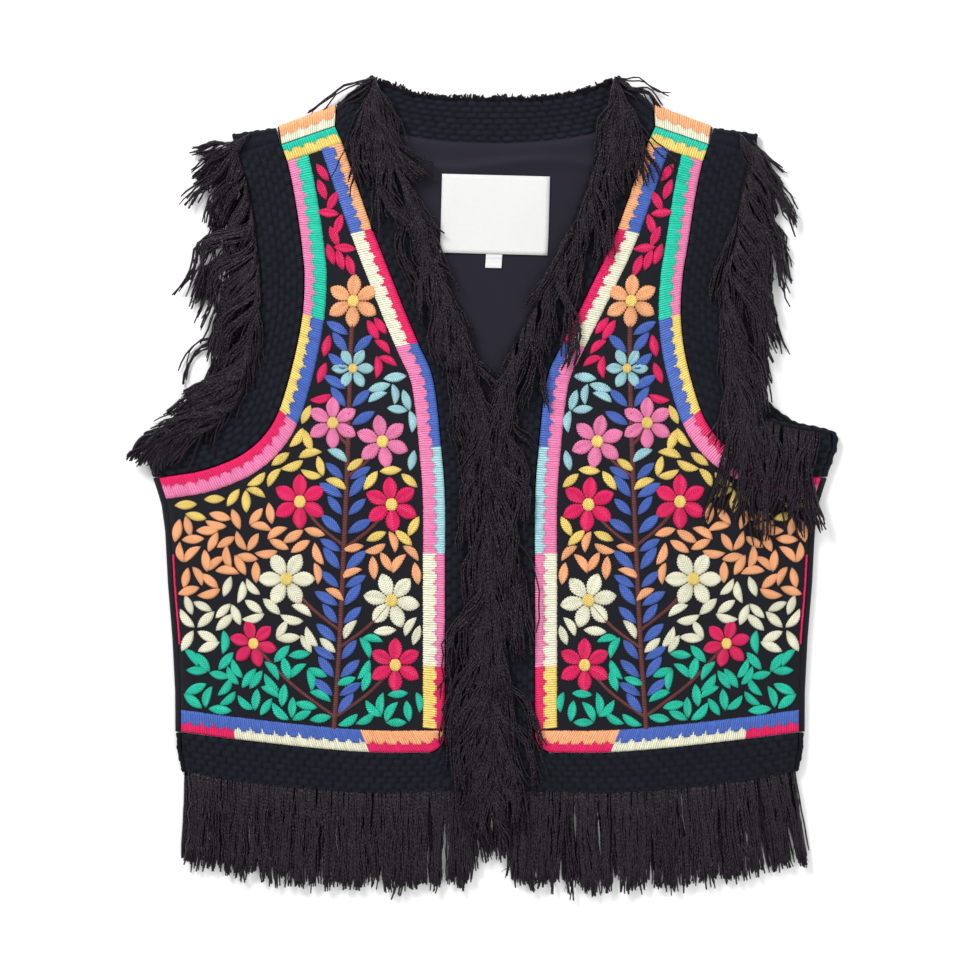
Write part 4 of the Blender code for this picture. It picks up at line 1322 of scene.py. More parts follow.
@dataclass
class Bands:
    """All the knitted bands of the vest."""

    front_level: float = PATTERN.front_underside + PATTERN.band_wall / 2
    hem_overlap: float = 1.6
    shoulder_reach: float = 1.5

    def make(self) -> None:
        """Make the bands of the back and of both fronts."""
        KnitBand("neck_knit", "back_neck_band", self.back_neck(), 1).make()
        KnitBand("back_hem_knit", "back_hem_band", self.back_hem(), 1, along_step=2.4,
                 across_step=1.25).make()
        for word, side in SIDES:
            front = between(*PATTERN.front_band_edges(), (0.0, 0.5, 1.0))
            KnitBand(f"{word}_front_knit", f"{word}_front_band", front, side, self.front_level).make()
            KnitBand(f"{word}_armhole_knit", f"{word}_armhole_band_front", self.front_armhole(), side,
                     self.front_level).make()
            KnitBand(f"{word}_armhole_knit_back", f"{word}_armhole_band_back", self.back_armhole(), side,
                     along_step=2.1, across_step=1.25).make()
            KnitBand(f"{word}_hem_knit", f"{word}_hem_band", self.front_hem(), side, self.front_level).make()

    def front_armhole(self) -> Points:
        """Return the rows of the front half of an armhole band.

        Returns:
            Rows from the shoulder to the side, each from the seam to the free edge.
        """
        grid = between(*PATTERN.armhole_band_edges(), (0.0, 0.33, 0.67, 1.0))
        ahead = grid[0] - grid[1]
        grid[0] += self.shoulder_reach * ahead / np.linalg.norm(ahead, axis=1)[:, None]
        return PATTERN.widened(grid, lambda up: PATTERN.front_side(up, PATTERN.band_wall))

    def back_armhole(self) -> Points:
        """Return the unfolded rows of the back half of an armhole band.

        Returns:
            Rows from the seam on the front, over the shoulder and down to the side's turn.
        """
        seam = offset(PATTERN.back_armhole(), PATTERN.gap)
        grid = between(seam, offset(seam, PATTERN.armhole_band_width), (0.0, 0.33, 0.67, 1.0))
        grid = PATTERN.widened(grid, lambda up: PATTERN.side_turn(up, PATTERN.band_wall))
        outs = np.linspace(ARMHOLE_FOLD_OUT + 2 * PATTERN.gap, FREE_ARMHOLE_FOLD_OUT, 4)
        grid[0] = np.column_stack([outs, PATTERN.shoulder_turn(outs)])
        seam_edge, free_edge = PATTERN.armhole_band_edges()
        over = PATTERN.over_shoulder(grid[0], seam_edge[0] + np.array([PATTERN.gap, 0.0]), free_edge[0])
        return np.concatenate([over[::-1], grid, PATTERN.over_side(grid[-1], PATTERN.band_wall)])

    def front_hem(self) -> Points:
        """Return the rows of the hem band of a front.

        Returns:
            Rows from the front edge to the side, each from the seam to the hem's edge.
        """
        seam = np.vstack([PATTERN.corner()[CORNER_MIDDLE // 2:-1], curve_through(HEM_SEAM, 40)])
        seam = offset(seam, -PATTERN.gap)
        edge = curve_through(HEM_EDGE, 120)
        below = np.column_stack([seam[:, 0], np.interp(seam[:, 0], edge[:, 0], edge[:, 1])])
        grid = between(seam, below, (0.0, 0.5, 1.0))
        grid[0, :, 0] = FRONT_EDGE[-1][0] - self.hem_overlap
        grid[-1, :, 0] = PATTERN.front_side(grid[-1, :, 1], PATTERN.band_wall)
        return grid

    def back_hem(self) -> Points:
        """Return the unfolded rows of the hem band of the back.

        Returns:
            Rows from side to side, each from the seam to the hem's edge.
        """
        seam = curve_through([(0.0, HEM_CENTRE_UP)] + HEM_SEAM, 40) - np.array([0.0, PATTERN.gap])
        grid = between(seam, curve_through(HEM_EDGE, 40), (0.0, 0.5, 1.0))
        grid[-1, :, 0] = PATTERN.side_turn(grid[-1, :, 1], PATTERN.band_wall)
        return both_halves(np.concatenate([grid, PATTERN.over_side(grid[-1], PATTERN.band_wall)]))

    def back_neck(self) -> Points:
        """Return the unfolded rows of the band along the back neck and over the shoulders.

        Returns:
            Rows from shoulder to shoulder, each from the seam to the free edge.
        """
        seam = offset(PATTERN.back_neck(30), PATTERN.gap)
        seam[0, 0] = 0.0
        grid = between(seam, PATTERN.back_neck_free(30), (0.0, 0.5, 1.0))
        outs = np.linspace(NECK_FOLD_OUT - 2 * PATTERN.gap, FREE_NECK_FOLD_OUT, 3)
        grid[-1] = np.column_stack([outs, PATTERN.shoulder_turn(outs)])
        seam_edge, free_edge = PATTERN.front_band_edges()
        over = PATTERN.over_shoulder(grid[-1], seam_edge[-1] - np.array([PATTERN.gap, 0.0]), free_edge[-1])
        return both_halves(np.concatenate([grid, over]))


# The embroidery

class Zone(NamedTuple):
    """A stretch of border in two colours, up to a distance along its run."""

    until: float
    outer: Floss
    inner: Floss


ARMHOLE_ZONES = [Zone(117, Floss.PINK, Floss.TEAL), Zone(47, Floss.YELLOW, Floss.BLUE),
                 Zone(-300, Floss.HOT_PINK, Floss.PINK)]
FRONT_ZONES = [Zone(177, Floss.PEACH, Floss.BLUE), Zone(98, Floss.HOT_PINK, Floss.CREAM),
               Zone(26, Floss.BLUE, Floss.PINK), Zone(-48, Floss.LIGHT_BLUE, Floss.PINK),
               Zone(-127, Floss.PINK, Floss.CREAM), Zone(-300, Floss.HOT_PINK, Floss.YELLOW)]
HEM_ZONES = [Zone(-87, Floss.HOT_PINK, Floss.PEACH), Zone(-179, Floss.CREAM, Floss.BLUE),
             Zone(-300, Floss.HOT_PINK, Floss.BLUE)]
SIDE_ZONES = [Zone(-300, Floss.HOT_PINK, Floss.HOT_PINK)]
SHOULDER_ZONES = [Zone(-300, Floss.TEAL, Floss.YELLOW)]
BACK_SHOULDER_ZONES = [Zone(-300, Floss.CREAM, Floss.PEACH)]
FIRST_RUN_SEED = 50


@dataclass
class Border:
    """The raised two-colour border round one front panel."""

    word: str
    side: int
    width: float = 15.0
    shoulder_width: float = 12.0
    height: float = 0.95
    unevenness: float = 0.12
    lift: float = 0.12
    tooth: float = 0.22
    inner_reach: float = 0.25
    outer_tooth: float = 0.4
    roundness: float = 5.0
    scallop: float = 8.6
    scallop_depth: float = 0.24
    meeting: float = 0.62
    wobble: float = 0.04
    shades: tuple = (0.88, 1.06)
    # painted shade along the line where the two colours meet: its depth and its width
    meeting_painted_shade: float = 0.3
    meeting_painted_shade_width: float = 0.05
    depth: float = 0.1
    straight_to: float = -170.0
    stitch: float = 0.88
    columns: int = 13
    side_from: float = -112.0
    side_to: float = -48.0
    side_width: float = 1.2
    corner_overlap: float = 0.5

    def strip(self, outer: Points, inner: Points, zones: Sequence[Zone], axis: int,
              seed: int) -> Mesh:
        """Return one run of the border.

        Args:
            outer: The line of its outer edge.
            inner: The line of its inner edge.
            zones: Its colours, in the order of the run.
            axis: 0 where a zone ends at a distance out, 1 where it ends at a height.
            seed: Seed of the stitches' unevenness.

        Returns:
            The mesh of the run.
        """
        rows = int(lengths_along(outer)[-1] / self.stitch) + 1
        outer, inner = resample(outer, rows), resample(inner, rows)
        chance = np.random.default_rng(seed)
        tooth = chance.uniform(-self.tooth, self.tooth, rows)[:, None]
        shares = np.linspace(0.0, 1.0, self.columns + 1)
        grid = between(outer, inner, shares)
        push = (inner - outer) / np.linalg.norm(inner - outer, axis=1)[:, None]
        grid[:, -1] += push * (self.inner_reach + tooth)
        grid[:, 0] += push * tooth * self.outer_tooth
        dome = np.sqrt(unit(1.0 - (2.0 * np.abs(shares - 0.5)) ** self.roundness))[None, :]
        middle = np.dstack([grid, PATTERN.panel_height(grid) + self.lift])
        over = self.height * dome * (1.0 + self.unevenness * chance.uniform(-1.0, 1.0, rows)[:, None])
        colours = self.colours(lengths_along((outer + inner) / 2), grid, zones, axis, chance)
        return shell_mesh("run", middle, over, self.depth, self.side, colours, coarse=8)

    def colours(self, along: Points, grid: Points, zones: Sequence[Zone], axis: int,
                chance: np.random.Generator) -> Points:
        """Return the floss of each face: two colours that meet in a scalloped line of uneven stitches, with
        painted shade along that line.

        Args:
            along: The distance of each row along the run.
            grid: The rows of the run, from its outer to its inner edge.
            zones: Its colours, in the order of the run.
            axis: 0 where a zone ends at a distance out, 1 where it ends at a height.
            chance: Where the stitches' unevenness comes from.

        Returns:
            A linear colour for each face.
        """
        rows = len(along) - 1
        middle = (grid[:-1].mean(axis=1) + grid[1:].mean(axis=1)) / 2
        place = middle[:, 1] if axis == 1 else -middle[:, 0]
        number = sum((place < zone.until).astype(int) for zone in zones[:-1]) + np.zeros(rows, dtype=int)
        outer, inner = (np.array([zone[column].colour() for zone in zones])[number] for column in (1, 2))
        wave = ((along[:-1] / self.scallop) % 1.0) * 2.0 - 1.0
        meet = self.meeting - self.scallop_depth * np.sqrt(1.0 - wave ** 2)
        meet = meet + chance.uniform(-self.wobble, self.wobble, rows)
        past = ((np.arange(self.columns) + 0.5) / self.columns)[None, :] - meet[:, None]
        # painted shade along the meeting line of the two colours
        shade = 1.0 - self.meeting_painted_shade * np.exp(-(past / self.meeting_painted_shade_width) ** 2)
        colours = np.where((past < 0)[..., None], outer[:, None], inner[:, None])
        return colours * shade[..., None] * chance.uniform(*self.shades, rows)[:, None, None]

    def runs(self) -> list:
        """Return the runs of the border.

        Returns:
            The outer line, the inner line, the zones and the axis of each run.
        """
        armhole, front = PATTERN.armhole(400)[::-1], PATTERN.front_edge(500)[::-1]
        armhole_outer, front_outer = self.below_shoulder(armhole), self.below_shoulder(front)
        armhole_inner = self.below_shoulder(offset(armhole, -self.width))
        armhole_inner[:, 0] = np.minimum(armhole_inner[:, 0],
                                         PATTERN.front_side(armhole_inner[:, 1], PATTERN.panel_wall))
        front_inner = self.below_shoulder(offset(front[front[:, 1] > self.straight_to], self.width))
        hem = PATTERN.hem_seam(200)
        start = np.array([FRONT_EDGE[-1][0] + PATTERN.gap, HEM_SEAM[0][1]])
        hem_inner = np.vstack([start, curve_through(HEM_SEAM[:-1] + [tuple(hem[-1])], 200)])
        hem_inner = hem_inner + np.array([0.0, self.width])
        hem_outer = np.vstack([front[-30:-1], hem])
        hem_outer = hem_outer[hem_outer[:, 1] < hem_inner[0, 1]]
        low = hem_inner[0, 1] - self.corner_overlap
        front_outer, front_inner = (line[line[:, 1] > low] for line in (front_outer, front_inner))
        shoulder = np.array([FRONT_EDGE[0], ARMHOLE[0]])
        side = PATTERN.panel_side(120)
        side = side[(side[:, 1] > self.side_from) & (side[:, 1] < self.side_to)]
        return [(armhole_outer, armhole_inner, ARMHOLE_ZONES, 1), (front_outer, front_inner, FRONT_ZONES, 1),
                (shoulder, np.array([front_outer[0], armhole_outer[0]]), SHOULDER_ZONES, 1),
                (hem_outer, hem_inner, HEM_ZONES, 0),
                (side, side - np.array([self.side_width, 0.0]), SIDE_ZONES, 1)]

    def below_shoulder(self, line: Points) -> Points:
        """Return the part of a line that lies below the shoulder's strip.

        Args:
            line: A line, run from the shoulder down.

        Returns:
            The points of the line that are deep enough.
        """
        along = np.array(ARMHOLE[0]) - np.array(FRONT_EDGE[0])
        along /= np.linalg.norm(along)
        deep = (line - np.array(FRONT_EDGE[0])) @ np.array([along[1], -along[0]]) - self.shoulder_width
        return line[deep > 0]

    def make(self) -> None:
        """Make the runs of the border as one piece."""
        name = f"{self.word}_border_stitching"
        strips = [self.strip(*run, FIRST_RUN_SEED + index) for index, run in enumerate(self.runs())]
        Piece(name, FLOSS, [f"{self.word}_embroidered_border"]).add(joined(name, strips))


@dataclass
class ShoulderStitching:
    """The stitching on the part of the back that comes over the shoulder."""

    word: str
    side: int
    height: float = 0.75
    unevenness: float = 0.06
    round_fold: float = 0.25
    sunk: float = 0.9
    rows: int = 56
    columns: int = 15
    pink_columns: int = 1
    shades: tuple = (0.85, 1.05)

    def make(self) -> None:
        """Make the strip from its seam on the front to just round the shoulder's fold."""
        outs = np.linspace(NECK_FOLD_OUT + 0.1, ARMHOLE_FOLD_OUT - 0.6, self.rows)
        turn = np.column_stack([outs, PATTERN.shoulder_turn(outs)])
        seam = PATTERN.over_shoulder(turn, np.array(FRONT_EDGE[0]), np.array(ARMHOLE[0]))[-1]
        fold = turn + np.array([0.0, self.round_fold * PATTERN.fold_arc])
        grid = between(seam, fold, np.linspace(0.0, 1.0, self.columns))
        chance = np.random.default_rng(77)
        border = Border(self.word, self.side)
        # the border's colours, with their painted shade along the meeting line
        colours = border.colours(lengths_along(seam), grid, BACK_SHOULDER_ZONES, 1, chance)
        shades = chance.uniform(*self.shades, (self.rows - 1, 1, 1))
        colours[:, -self.pink_columns:] = Floss.PINK.colour() * shades
        over = PATTERN.panel_wall / 2 + self.height
        over = over * (1.0 + self.unevenness * chance.uniform(-1.0, 1.0, (self.rows, 1)))
        name = f"{self.word}_shoulder_stitching"
        middle = PATTERN.folded(grid, PATTERN.panel_wall)
        Piece(name, FLOSS).add(shell_mesh(name, middle, over, -self.sunk, self.side, colours, coarse=7))


class Flower(NamedTuple):
    """A six-petalled flower beside the stem."""

    up: float
    beside: float
    width: float
    floss: Floss
    turn: float


FLOWERS = [
    Flower(128, 0, 37, Floss.PEACH, 0),
    Flower(81, -2, 29, Floss.LIGHT_BLUE, 30),
    Flower(43, 11, 36, Floss.PINK, 0),
    Flower(30, -24, 37, Floss.PINK, 10),
    Flower(-12, 32, 38, Floss.HOT_PINK, 0),
    Flower(-14, -32, 38, Floss.HOT_PINK, 5),
    Flower(-66, 39, 39, Floss.CREAM, 30),
    Flower(-81, -35, 39, Floss.CREAM, 20),
    Flower(-111, 60, 33, Floss.HOT_PINK, 15),
    Flower(-126, -40, 37, Floss.HOT_PINK, 0),
]
STEM = [(109, -171), (105, -110), (102, -46), (99, 30), (97, 112)]


class Wash(NamedTuple):
    """A belt of leaves of one colour, down to a height."""

    down_to: float
    floss: Floss


WASHES = [Wash(66, Floss.HOT_PINK), Wash(14, Floss.LIGHT_BLUE), Wash(-22, Floss.YELLOW),
          Wash(-72, Floss.PEACH), Wash(-110, Floss.CREAM), Wash(-300, Floss.TEAL)]


@dataclass
class Pad:
    """One padded satin stitch shape, such as a leaf or a petal, made once and copied."""

    length: float
    width: float
    height: float
    rows: int
    columns: int
    blunt: float
    groove: float
    bend: float = 0.0
    fullness: float = 0.75
    thread_scale: float = 1.0
    thread_slant: float = 0.8
    sunk: float = 0.25

    def mesh(self) -> Mesh:
        """Return the pad, from its foot at the origin to its tip along +Y.

        Returns:
            Its mesh in millimetres, with a UV map in metres.
        """
        t = np.linspace(0.0, 1.0, self.rows)
        swell = np.sin(math.pi * np.clip(t, TIP_SHARE, 1.0 - TIP_SHARE) ** self.blunt) ** self.fullness
        tooth = np.where(np.arange(self.rows) % 2 == 0, 1.05, 0.93)
        half = self.width / 2 * swell * tooth
        w = np.linspace(-1.0, 1.0, self.columns)
        out = half[:, None] * w[None, :] + self.bend * self.length * (t * (1.0 - t))[:, None]
        up = np.repeat((self.length * t)[:, None], self.columns, axis=1)
        dome = np.sqrt(unit(1.0 - np.abs(w) ** 2.6)) - self.groove * np.exp(-(w / 0.22) ** 2)
        rise = unit(np.sin(math.pi * t) * 2.2) ** 0.5
        high = self.height * dome[None, :] * rise[:, None]
        high[:, [0, -1]] = -self.sunk
        top = np.dstack([out, up, high])
        ring = np.concatenate([top, top[:, :1]], axis=1)
        slant = np.abs(np.append(w, 1.0))[None, :] * self.width / 2
        plane = np.dstack([ring[..., 1] - self.thread_slant * slant, ring[..., 0]]) * MM * self.thread_scale
        return mended(grid_mesh("pad", ring, plane), MERGE, capped=True)


TIP_SHARE = 0.012  # of a pad's length, within which it gets no narrower


class Kind(Enum):
    """The satin stitch shapes of the embroidery."""

    LEAF = "leaf"
    CURVED_LEAF = "curved leaf"
    LONG_LEAF = "long leaf"
    PETAL = "petal"
    EYE = "eye"


PADS = {
    Kind.LEAF: Pad(15.6, 7.1, 1.25, 17, 7, 1.0, 0.22),
    Kind.CURVED_LEAF: Pad(15.8, 6.7, 1.2, 17, 7, 0.9, 0.2, bend=0.4),
    Kind.LONG_LEAF: Pad(18.0, 7.6, 1.2, 21, 7, 1.05, 0.25),
    Kind.PETAL: Pad(1.0, 0.62, 1.3, 19, 9, 1.18, 0.5, fullness=0.7, thread_scale=17.0),
    Kind.EYE: Pad(9.4, 9.4, 1.9, 15, 9, 1.0, 0.0, fullness=0.5),
}


SPINE_SHARES = (0.2, 0.5, 0.8)  # where the points that keep leaves apart lie along one


class Stitch(NamedTuple):
    """A pad's place: its foot, its direction in degrees from up towards out, its scale and its floss."""

    kind: Kind
    out: float
    up: float
    degrees: float
    scale: float
    floss: Floss


@dataclass
class Layout:
    """Where the flowers, leaves and stem of a front lie, by rule; the other front is its mirror image."""

    seed: int = 19
    border: float = 17.6
    side_inset: float = 2.0
    leaf_gap: float = 5.0
    flower_gap: float = 2.2
    stem_gap: float = 4.4
    stalk_gap: float = 3.1
    bare_foot: float = 4.0
    petal_foot: float = 1.8
    eye_foot: float = 4.7
    stem_leaf_step: float = 12.6
    top_leaf_step: float = 8.2
    tries: int = 10000
    pairing: float = 0.85
    cell: float = 1.0
    stitches: list = field(default_factory=list)
    spines: list = field(default_factory=list)
    low: Points = field(init=False)
    ground: Points = field(init=False)
    branch: Points = field(init=False)

    def __post_init__(self) -> None:
        """Map the ground that leaves may cover and fill it."""
        self.map_ground()
        branches = [resample(line, 16) for line, _ in self.stalks()[1:]]
        self.branch = np.vstack([line[lengths_along(line) > self.bare_foot] for line in branches])
        self.add_flowers()
        self.add_stem_leaves()
        self.add_top_leaves()
        self.add_leaves(np.random.default_rng(self.seed))

    def map_ground(self) -> None:
        """Mark each cell of the front panel that lies clear of the borders and of the side edge."""
        outline = PATTERN.panel_outline()
        self.low = outline.min(axis=0)
        counts = ((outline.max(axis=0) - self.low) / self.cell).astype(int) + 1
        lines = (self.low[axis] + np.arange(counts[axis]) * self.cell for axis in (0, 1))
        out, up = np.meshgrid(*lines, indexing="ij")
        bordered = np.vstack([PATTERN.armhole(50), PATTERN.front_edge(60)[::-1], PATTERN.hem_seam(40)])
        away = np.full(out.shape, np.inf)
        for x, y in resample(bordered, 420):
            away = np.minimum(away, np.hypot(out - x, up - y))
        room = PATTERN.front_side(up, PATTERN.panel_wall) - out
        self.ground = (away > self.border) & inside(outline, out, up) & (room > self.side_inset)

    def is_ground(self, place: Points) -> bool:
        """Tell whether a place is ground that leaves may cover.

        Args:
            place: The place, out and up.

        Returns:
            Whether its cell is ground.
        """
        row, column = (int(round(float(share))) for share in (place - self.low) / self.cell)
        in_map = 0 <= row < self.ground.shape[0] and 0 <= column < self.ground.shape[1]
        return in_map and bool(self.ground[row, column])

    def stem_out(self, up: float) -> float:
        """Return how far out the stem is at a height."""
        stem = np.array(STEM)
        return float(np.interp(up, stem[:, 1], stem[:, 0]))

    def put(self, kind: Kind, foot: Points, degrees: float, scale: float, floss: Floss) -> None:
        """Add a pad and remember the line through it, which keeps other leaves away.

        Args:
            kind: Which pad.
            foot: The place of its foot.
            degrees: Its direction.
            scale: Its size.
            floss: Its colour.
        """
        self.stitches.append(Stitch(kind, *foot, degrees, scale, floss))
        length = PADS[kind].length * scale
        self.spines.extend((*(foot + heading(degrees) * length * share), 0.0) for share in SPINE_SHARES)

    def add_flowers(self) -> None:
        """Add the flowers."""
        for flower in FLOWERS:
            heart = np.array([self.stem_out(flower.up) + flower.beside, flower.up])
            for degrees in flower.turn + np.arange(0.0, 360.0, 60.0):
                foot = heart + heading(degrees) * self.petal_foot
                self.stitches.append(Stitch(Kind.PETAL, *foot, degrees, flower.width / 2 - 1.4, flower.floss))
            scale = flower.width / 37.0
            foot = heart - np.array([0.0, self.eye_foot * scale])
            self.stitches.append(Stitch(Kind.EYE, *foot, 0.0, scale, Floss.YELLOW))
            self.spines.append((*heart, flower.width / 2 - 1.0))

    def clear_of_stalks(self, places: Points) -> bool:
        """Tell whether all places are clear of the branches."""
        gaps = places[:, None] - self.branch[None]
        return bool((np.hypot(gaps[..., 0], gaps[..., 1]) > self.stalk_gap).all())

    def add_stem_leaves(self) -> None:
        """Add the pairs of blue leaves up the stem."""
        for number, up in enumerate(np.arange(-160.0, 108.0, self.stem_leaf_step)):
            for hand in (-1, 1):
                foot = np.array([self.stem_out(up) + hand * 2.2, up])
                degrees = hand * (48.0 + 13.0 * math.sin(2.1 * number + hand))
                tip = foot + heading(degrees) * 15.0
                crowded = any(math.dist(tip, spine[:2]) < spine[2] + 1.2 for spine in self.spines if spine[2])
                if not crowded and self.clear_of_stalks(np.vstack([foot * 0.5 + tip * 0.5, tip])):
                    scale = 1.0 + 0.07 * math.sin(3.3 * number)
                    self.put(Kind.LONG_LEAF, foot, degrees, scale, Floss.BLUE)

    def add_top_leaves(self) -> None:
        """Add the chain of hot pink leaves between the neck and the armhole."""
        edges = PATTERN.front_edge(60), PATTERN.armhole(60)
        for number, up in enumerate(np.arange(206.0, 152.0, -self.top_leaf_step)):
            middle = sum(np.interp(up, edge[:, 1], edge[:, 0]) for edge in edges) / 2
            hand = (-1) ** number
            turn = 84.0 if number % 3 == 2 else hand * (22.0 + 5.0 * math.sin(1.7 * number))
            foot = np.array([middle + hand * 2.6, up]) - heading(turn) * PADS[Kind.LEAF].length / 2
            self.put(Kind.LEAF, foot, turn, 1.0, Floss.HOT_PINK)

    def add_leaves(self, chance: np.random.Generator) -> None:
        """Fill the ground with leaves, each as near to the last ones as they allow.

        Args:
            chance: Where the tried places and directions come from.
        """
        cells = np.column_stack(np.nonzero(self.ground))
        picks = chance.integers(0, len(cells), self.tries)
        for place in self.low + cells[picks] * self.cell:
            for degrees in chance.uniform(0.0, 360.0, 4):
                if self.fits(place, degrees):
                    self.put_leaf(place, degrees, chance)
                    self.add_partner(place, degrees, chance)
                    break

    def add_partner(self, place: Points, degrees: float, chance: np.random.Generator) -> None:
        """Add a second leaf that springs from the same foot, where there is room.

        Args:
            place: The middle of the first leaf.
            degrees: Its direction.
            chance: Where the second leaf's direction comes from.
        """
        half = PADS[Kind.LEAF].length / 2
        foot = place - heading(degrees) * half
        for hand in chance.permutation([-1.0, 1.0]):
            turned = degrees + hand * chance.uniform(48.0, 72.0)
            middle = foot + heading(turned) * (half + 1.0)
            if chance.uniform() < self.pairing and self.fits(middle, turned, skip=len(SPINE_SHARES)):
                self.put_leaf(middle, turned, chance)
                return

    def fits(self, place: Points, degrees: float, skip: int = 0) -> bool:
        """Tell whether a leaf centred at a place stays clear of the border, the flowers and other leaves.

        Args:
            place: Its middle.
            degrees: Its direction.
            skip: How many of the last spine points it may come near.

        Returns:
            Whether there is room.
        """
        ahead = heading(degrees)
        if not all(self.is_ground(place + ahead * reach) for reach in (-7.0, 7.0)):
            return False
        if abs(place[0] - self.stem_out(place[1])) < self.stem_gap and place[1] < STEM[-1][1]:
            return False
        spine = place + ahead * np.array([[-4.7], [0.0], [4.7]])
        if not self.clear_of_stalks(spine):
            return False
        taken = np.array(self.spines[:len(self.spines) - skip])
        away = np.hypot(*(spine[:, None, axis] - taken[None, :, axis] for axis in (0, 1)))
        least = np.where(taken[:, 2] > 0, taken[:, 2] + self.flower_gap, self.leaf_gap)
        return not (away < least[None, :]).any()

    def put_leaf(self, place: Points, degrees: float, chance: np.random.Generator) -> None:
        """Add one leaf of the ground in the colour of its belt.

        Args:
            place: Its middle.
            degrees: Its direction.
            chance: Where its size and kind come from.
        """
        out, up = place
        height = up + 8.0 * math.sin(out / 15.0) + chance.uniform(-5.0, 5.0)
        floss = next(wash.floss for wash in WASHES if height > wash.down_to)
        beside = out - self.stem_out(up)
        is_outer_blue = floss is Floss.LIGHT_BLUE and beside > 14.0 + 0.4 * (up - 14.0)
        is_inner_peach = floss is Floss.PEACH and beside < -10.0 and height > -46.0
        if is_outer_blue or is_inner_peach:
            floss = Floss.YELLOW
        scale = chance.uniform(0.92, 1.07)
        kind = Kind.CURVED_LEAF if chance.uniform() < 0.4 else Kind.LEAF
        self.put(kind, place - heading(degrees) * PADS[kind].length * scale / 2, degrees, scale, floss)

    def stalks(self) -> list:
        """Return the stem and the branches.

        Returns:
            The line and the width of each.
        """
        lines = [(curve_through(STEM, 120), 3.6)]
        for flower in FLOWERS[2:]:
            foot_up = flower.up - abs(flower.beside) * 0.72 - 8.0
            foot = np.array([self.stem_out(foot_up), foot_up])
            tip = np.array([self.stem_out(flower.up) + flower.beside, flower.up])
            middle = (foot + tip) / 2 + np.array([0.06 * (tip[0] - foot[0]), -1.2])
            lines.append((curve_through([foot, middle, tip], 40), 2.6))
        return lines


@dataclass
class Needlework:
    """The stitched flowers, leaves and stem of one front."""

    word: str
    side: int
    layout: Layout
    stitch: float = 0.8
    height: float = 0.75
    depth: float = 0.15
    columns: int = 6

    def stalk_mesh(self, line: Points, width: float) -> Mesh:
        """Return the satin stitched strip of a stem or branch.

        Args:
            line: Its middle line.
            width: Its width.

        Returns:
            The mesh of the strip.
        """
        count = int(lengths_along(line)[-1] / self.stitch) + 1
        line = resample(line, count)
        tooth = np.where(np.arange(count) % 2 == 0, 1.04, 0.95)[:, None]
        beside = lefts(line) * tooth * width / 2
        grid = between(line - beside, line + beside, np.linspace(0.0, 1.0, self.columns))
        dome = np.sqrt(unit(1.0 - np.abs(np.linspace(-1.0, 1.0, self.columns)) ** 2.4))
        middle = np.dstack([grid, PATTERN.panel_height(grid)])
        colours = np.broadcast_to(Floss.BROWN.colour(), (count - 1, self.columns - 1, 3))
        over = self.height * dome
        return shell_mesh("stalk", middle, over, self.depth, self.side, colours, coarse=self.columns - 1)

    def pads_mesh(self) -> Mesh:
        """Return the flowers and leaves.

        Returns:
            One mesh of every pad in its place on the panel.
        """
        chance = np.random.default_rng(self.layout.seed)
        units = {kind: pad.mesh() for kind, pad in PADS.items()}
        bm = bmesh.new()
        colours = []
        for stitch in self.layout.stitches:
            pad = units[stitch.kind]
            bm.from_mesh(pad)
            bm.verts.ensure_lookup_table()
            new = bm.verts[len(bm.verts) - len(pad.vertices):]
            turn = Matrix.Rotation(-math.radians(stitch.degrees), 4, "Z")
            tall = 1.0 if stitch.kind is Kind.PETAL else stitch.scale
            size = Matrix.Diagonal((stitch.scale, stitch.scale, tall, 1.0))
            place = Matrix.Translation(Vector((stitch.out, stitch.up, 0.0)))
            bmesh.ops.transform(bm, matrix=place @ turn @ size, verts=new)
            colours.append(np.tile(stitch.floss.colour() * chance.uniform(0.9, 1.05), (len(pad.loops), 1)))
        mesh = bpy.data.meshes.new("pads")
        bm.to_mesh(mesh)
        bm.free()
        paint(mesh, np.vstack(colours))
        places = vertex_places(mesh)
        places[:, 2] += PATTERN.panel_height(places)
        mesh.vertices.foreach_set("co", PLACE.lay(places, self.side).ravel())
        return mesh

    def make(self) -> None:
        """Make the needlework as one piece."""
        name = f"{self.word}_needlework"
        stalks = [self.stalk_mesh(line, width) for line, width in self.layout.stalks()]
        Piece(name, FLOSS).add(mended(joined(name, [self.pads_mesh(), *stalks])))
        LOG.info("%s: %d satin stitch shapes", name, len(self.layout.stitches))


# The fringe

class Sweep(NamedTuple):
    """How the fringe lies at a height.

    It leaves its root at an angle outwards from straight down, bends by some degrees on its way, and has its
    locks spread out sideways over a width.
    """

    at: float
    degrees: float
    length: float
    tip_high: float
    bend: float = 0.0
    spread: float = 0.0


@dataclass
class Locks:
    """Chance for yarns that are bundled into locks."""

    yarns: int
    locks: int
    chance: np.random.Generator
    member: Points = field(init=False)

    def __post_init__(self) -> None:
        """Put each yarn in a lock."""
        self.member = self.chance.integers(0, self.locks, self.yarns)

    def alike(self, low: float, high: float) -> Points:
        """Return a number between two for each yarn, the same within a lock."""
        return self.chance.uniform(low, high, self.locks)[self.member]

    def apart(self, low: float, high: float) -> Points:
        """Return a number between two for each yarn."""
        return self.chance.uniform(low, high, self.yarns)

    def swerve(self, spread: float, share: float) -> Points:
        """Return a number about 0 for each yarn, nearly the same within a lock."""
        alike = self.chance.normal(0.0, spread, self.locks)[self.member]
        return alike + self.chance.normal(0.0, spread * share, self.yarns)


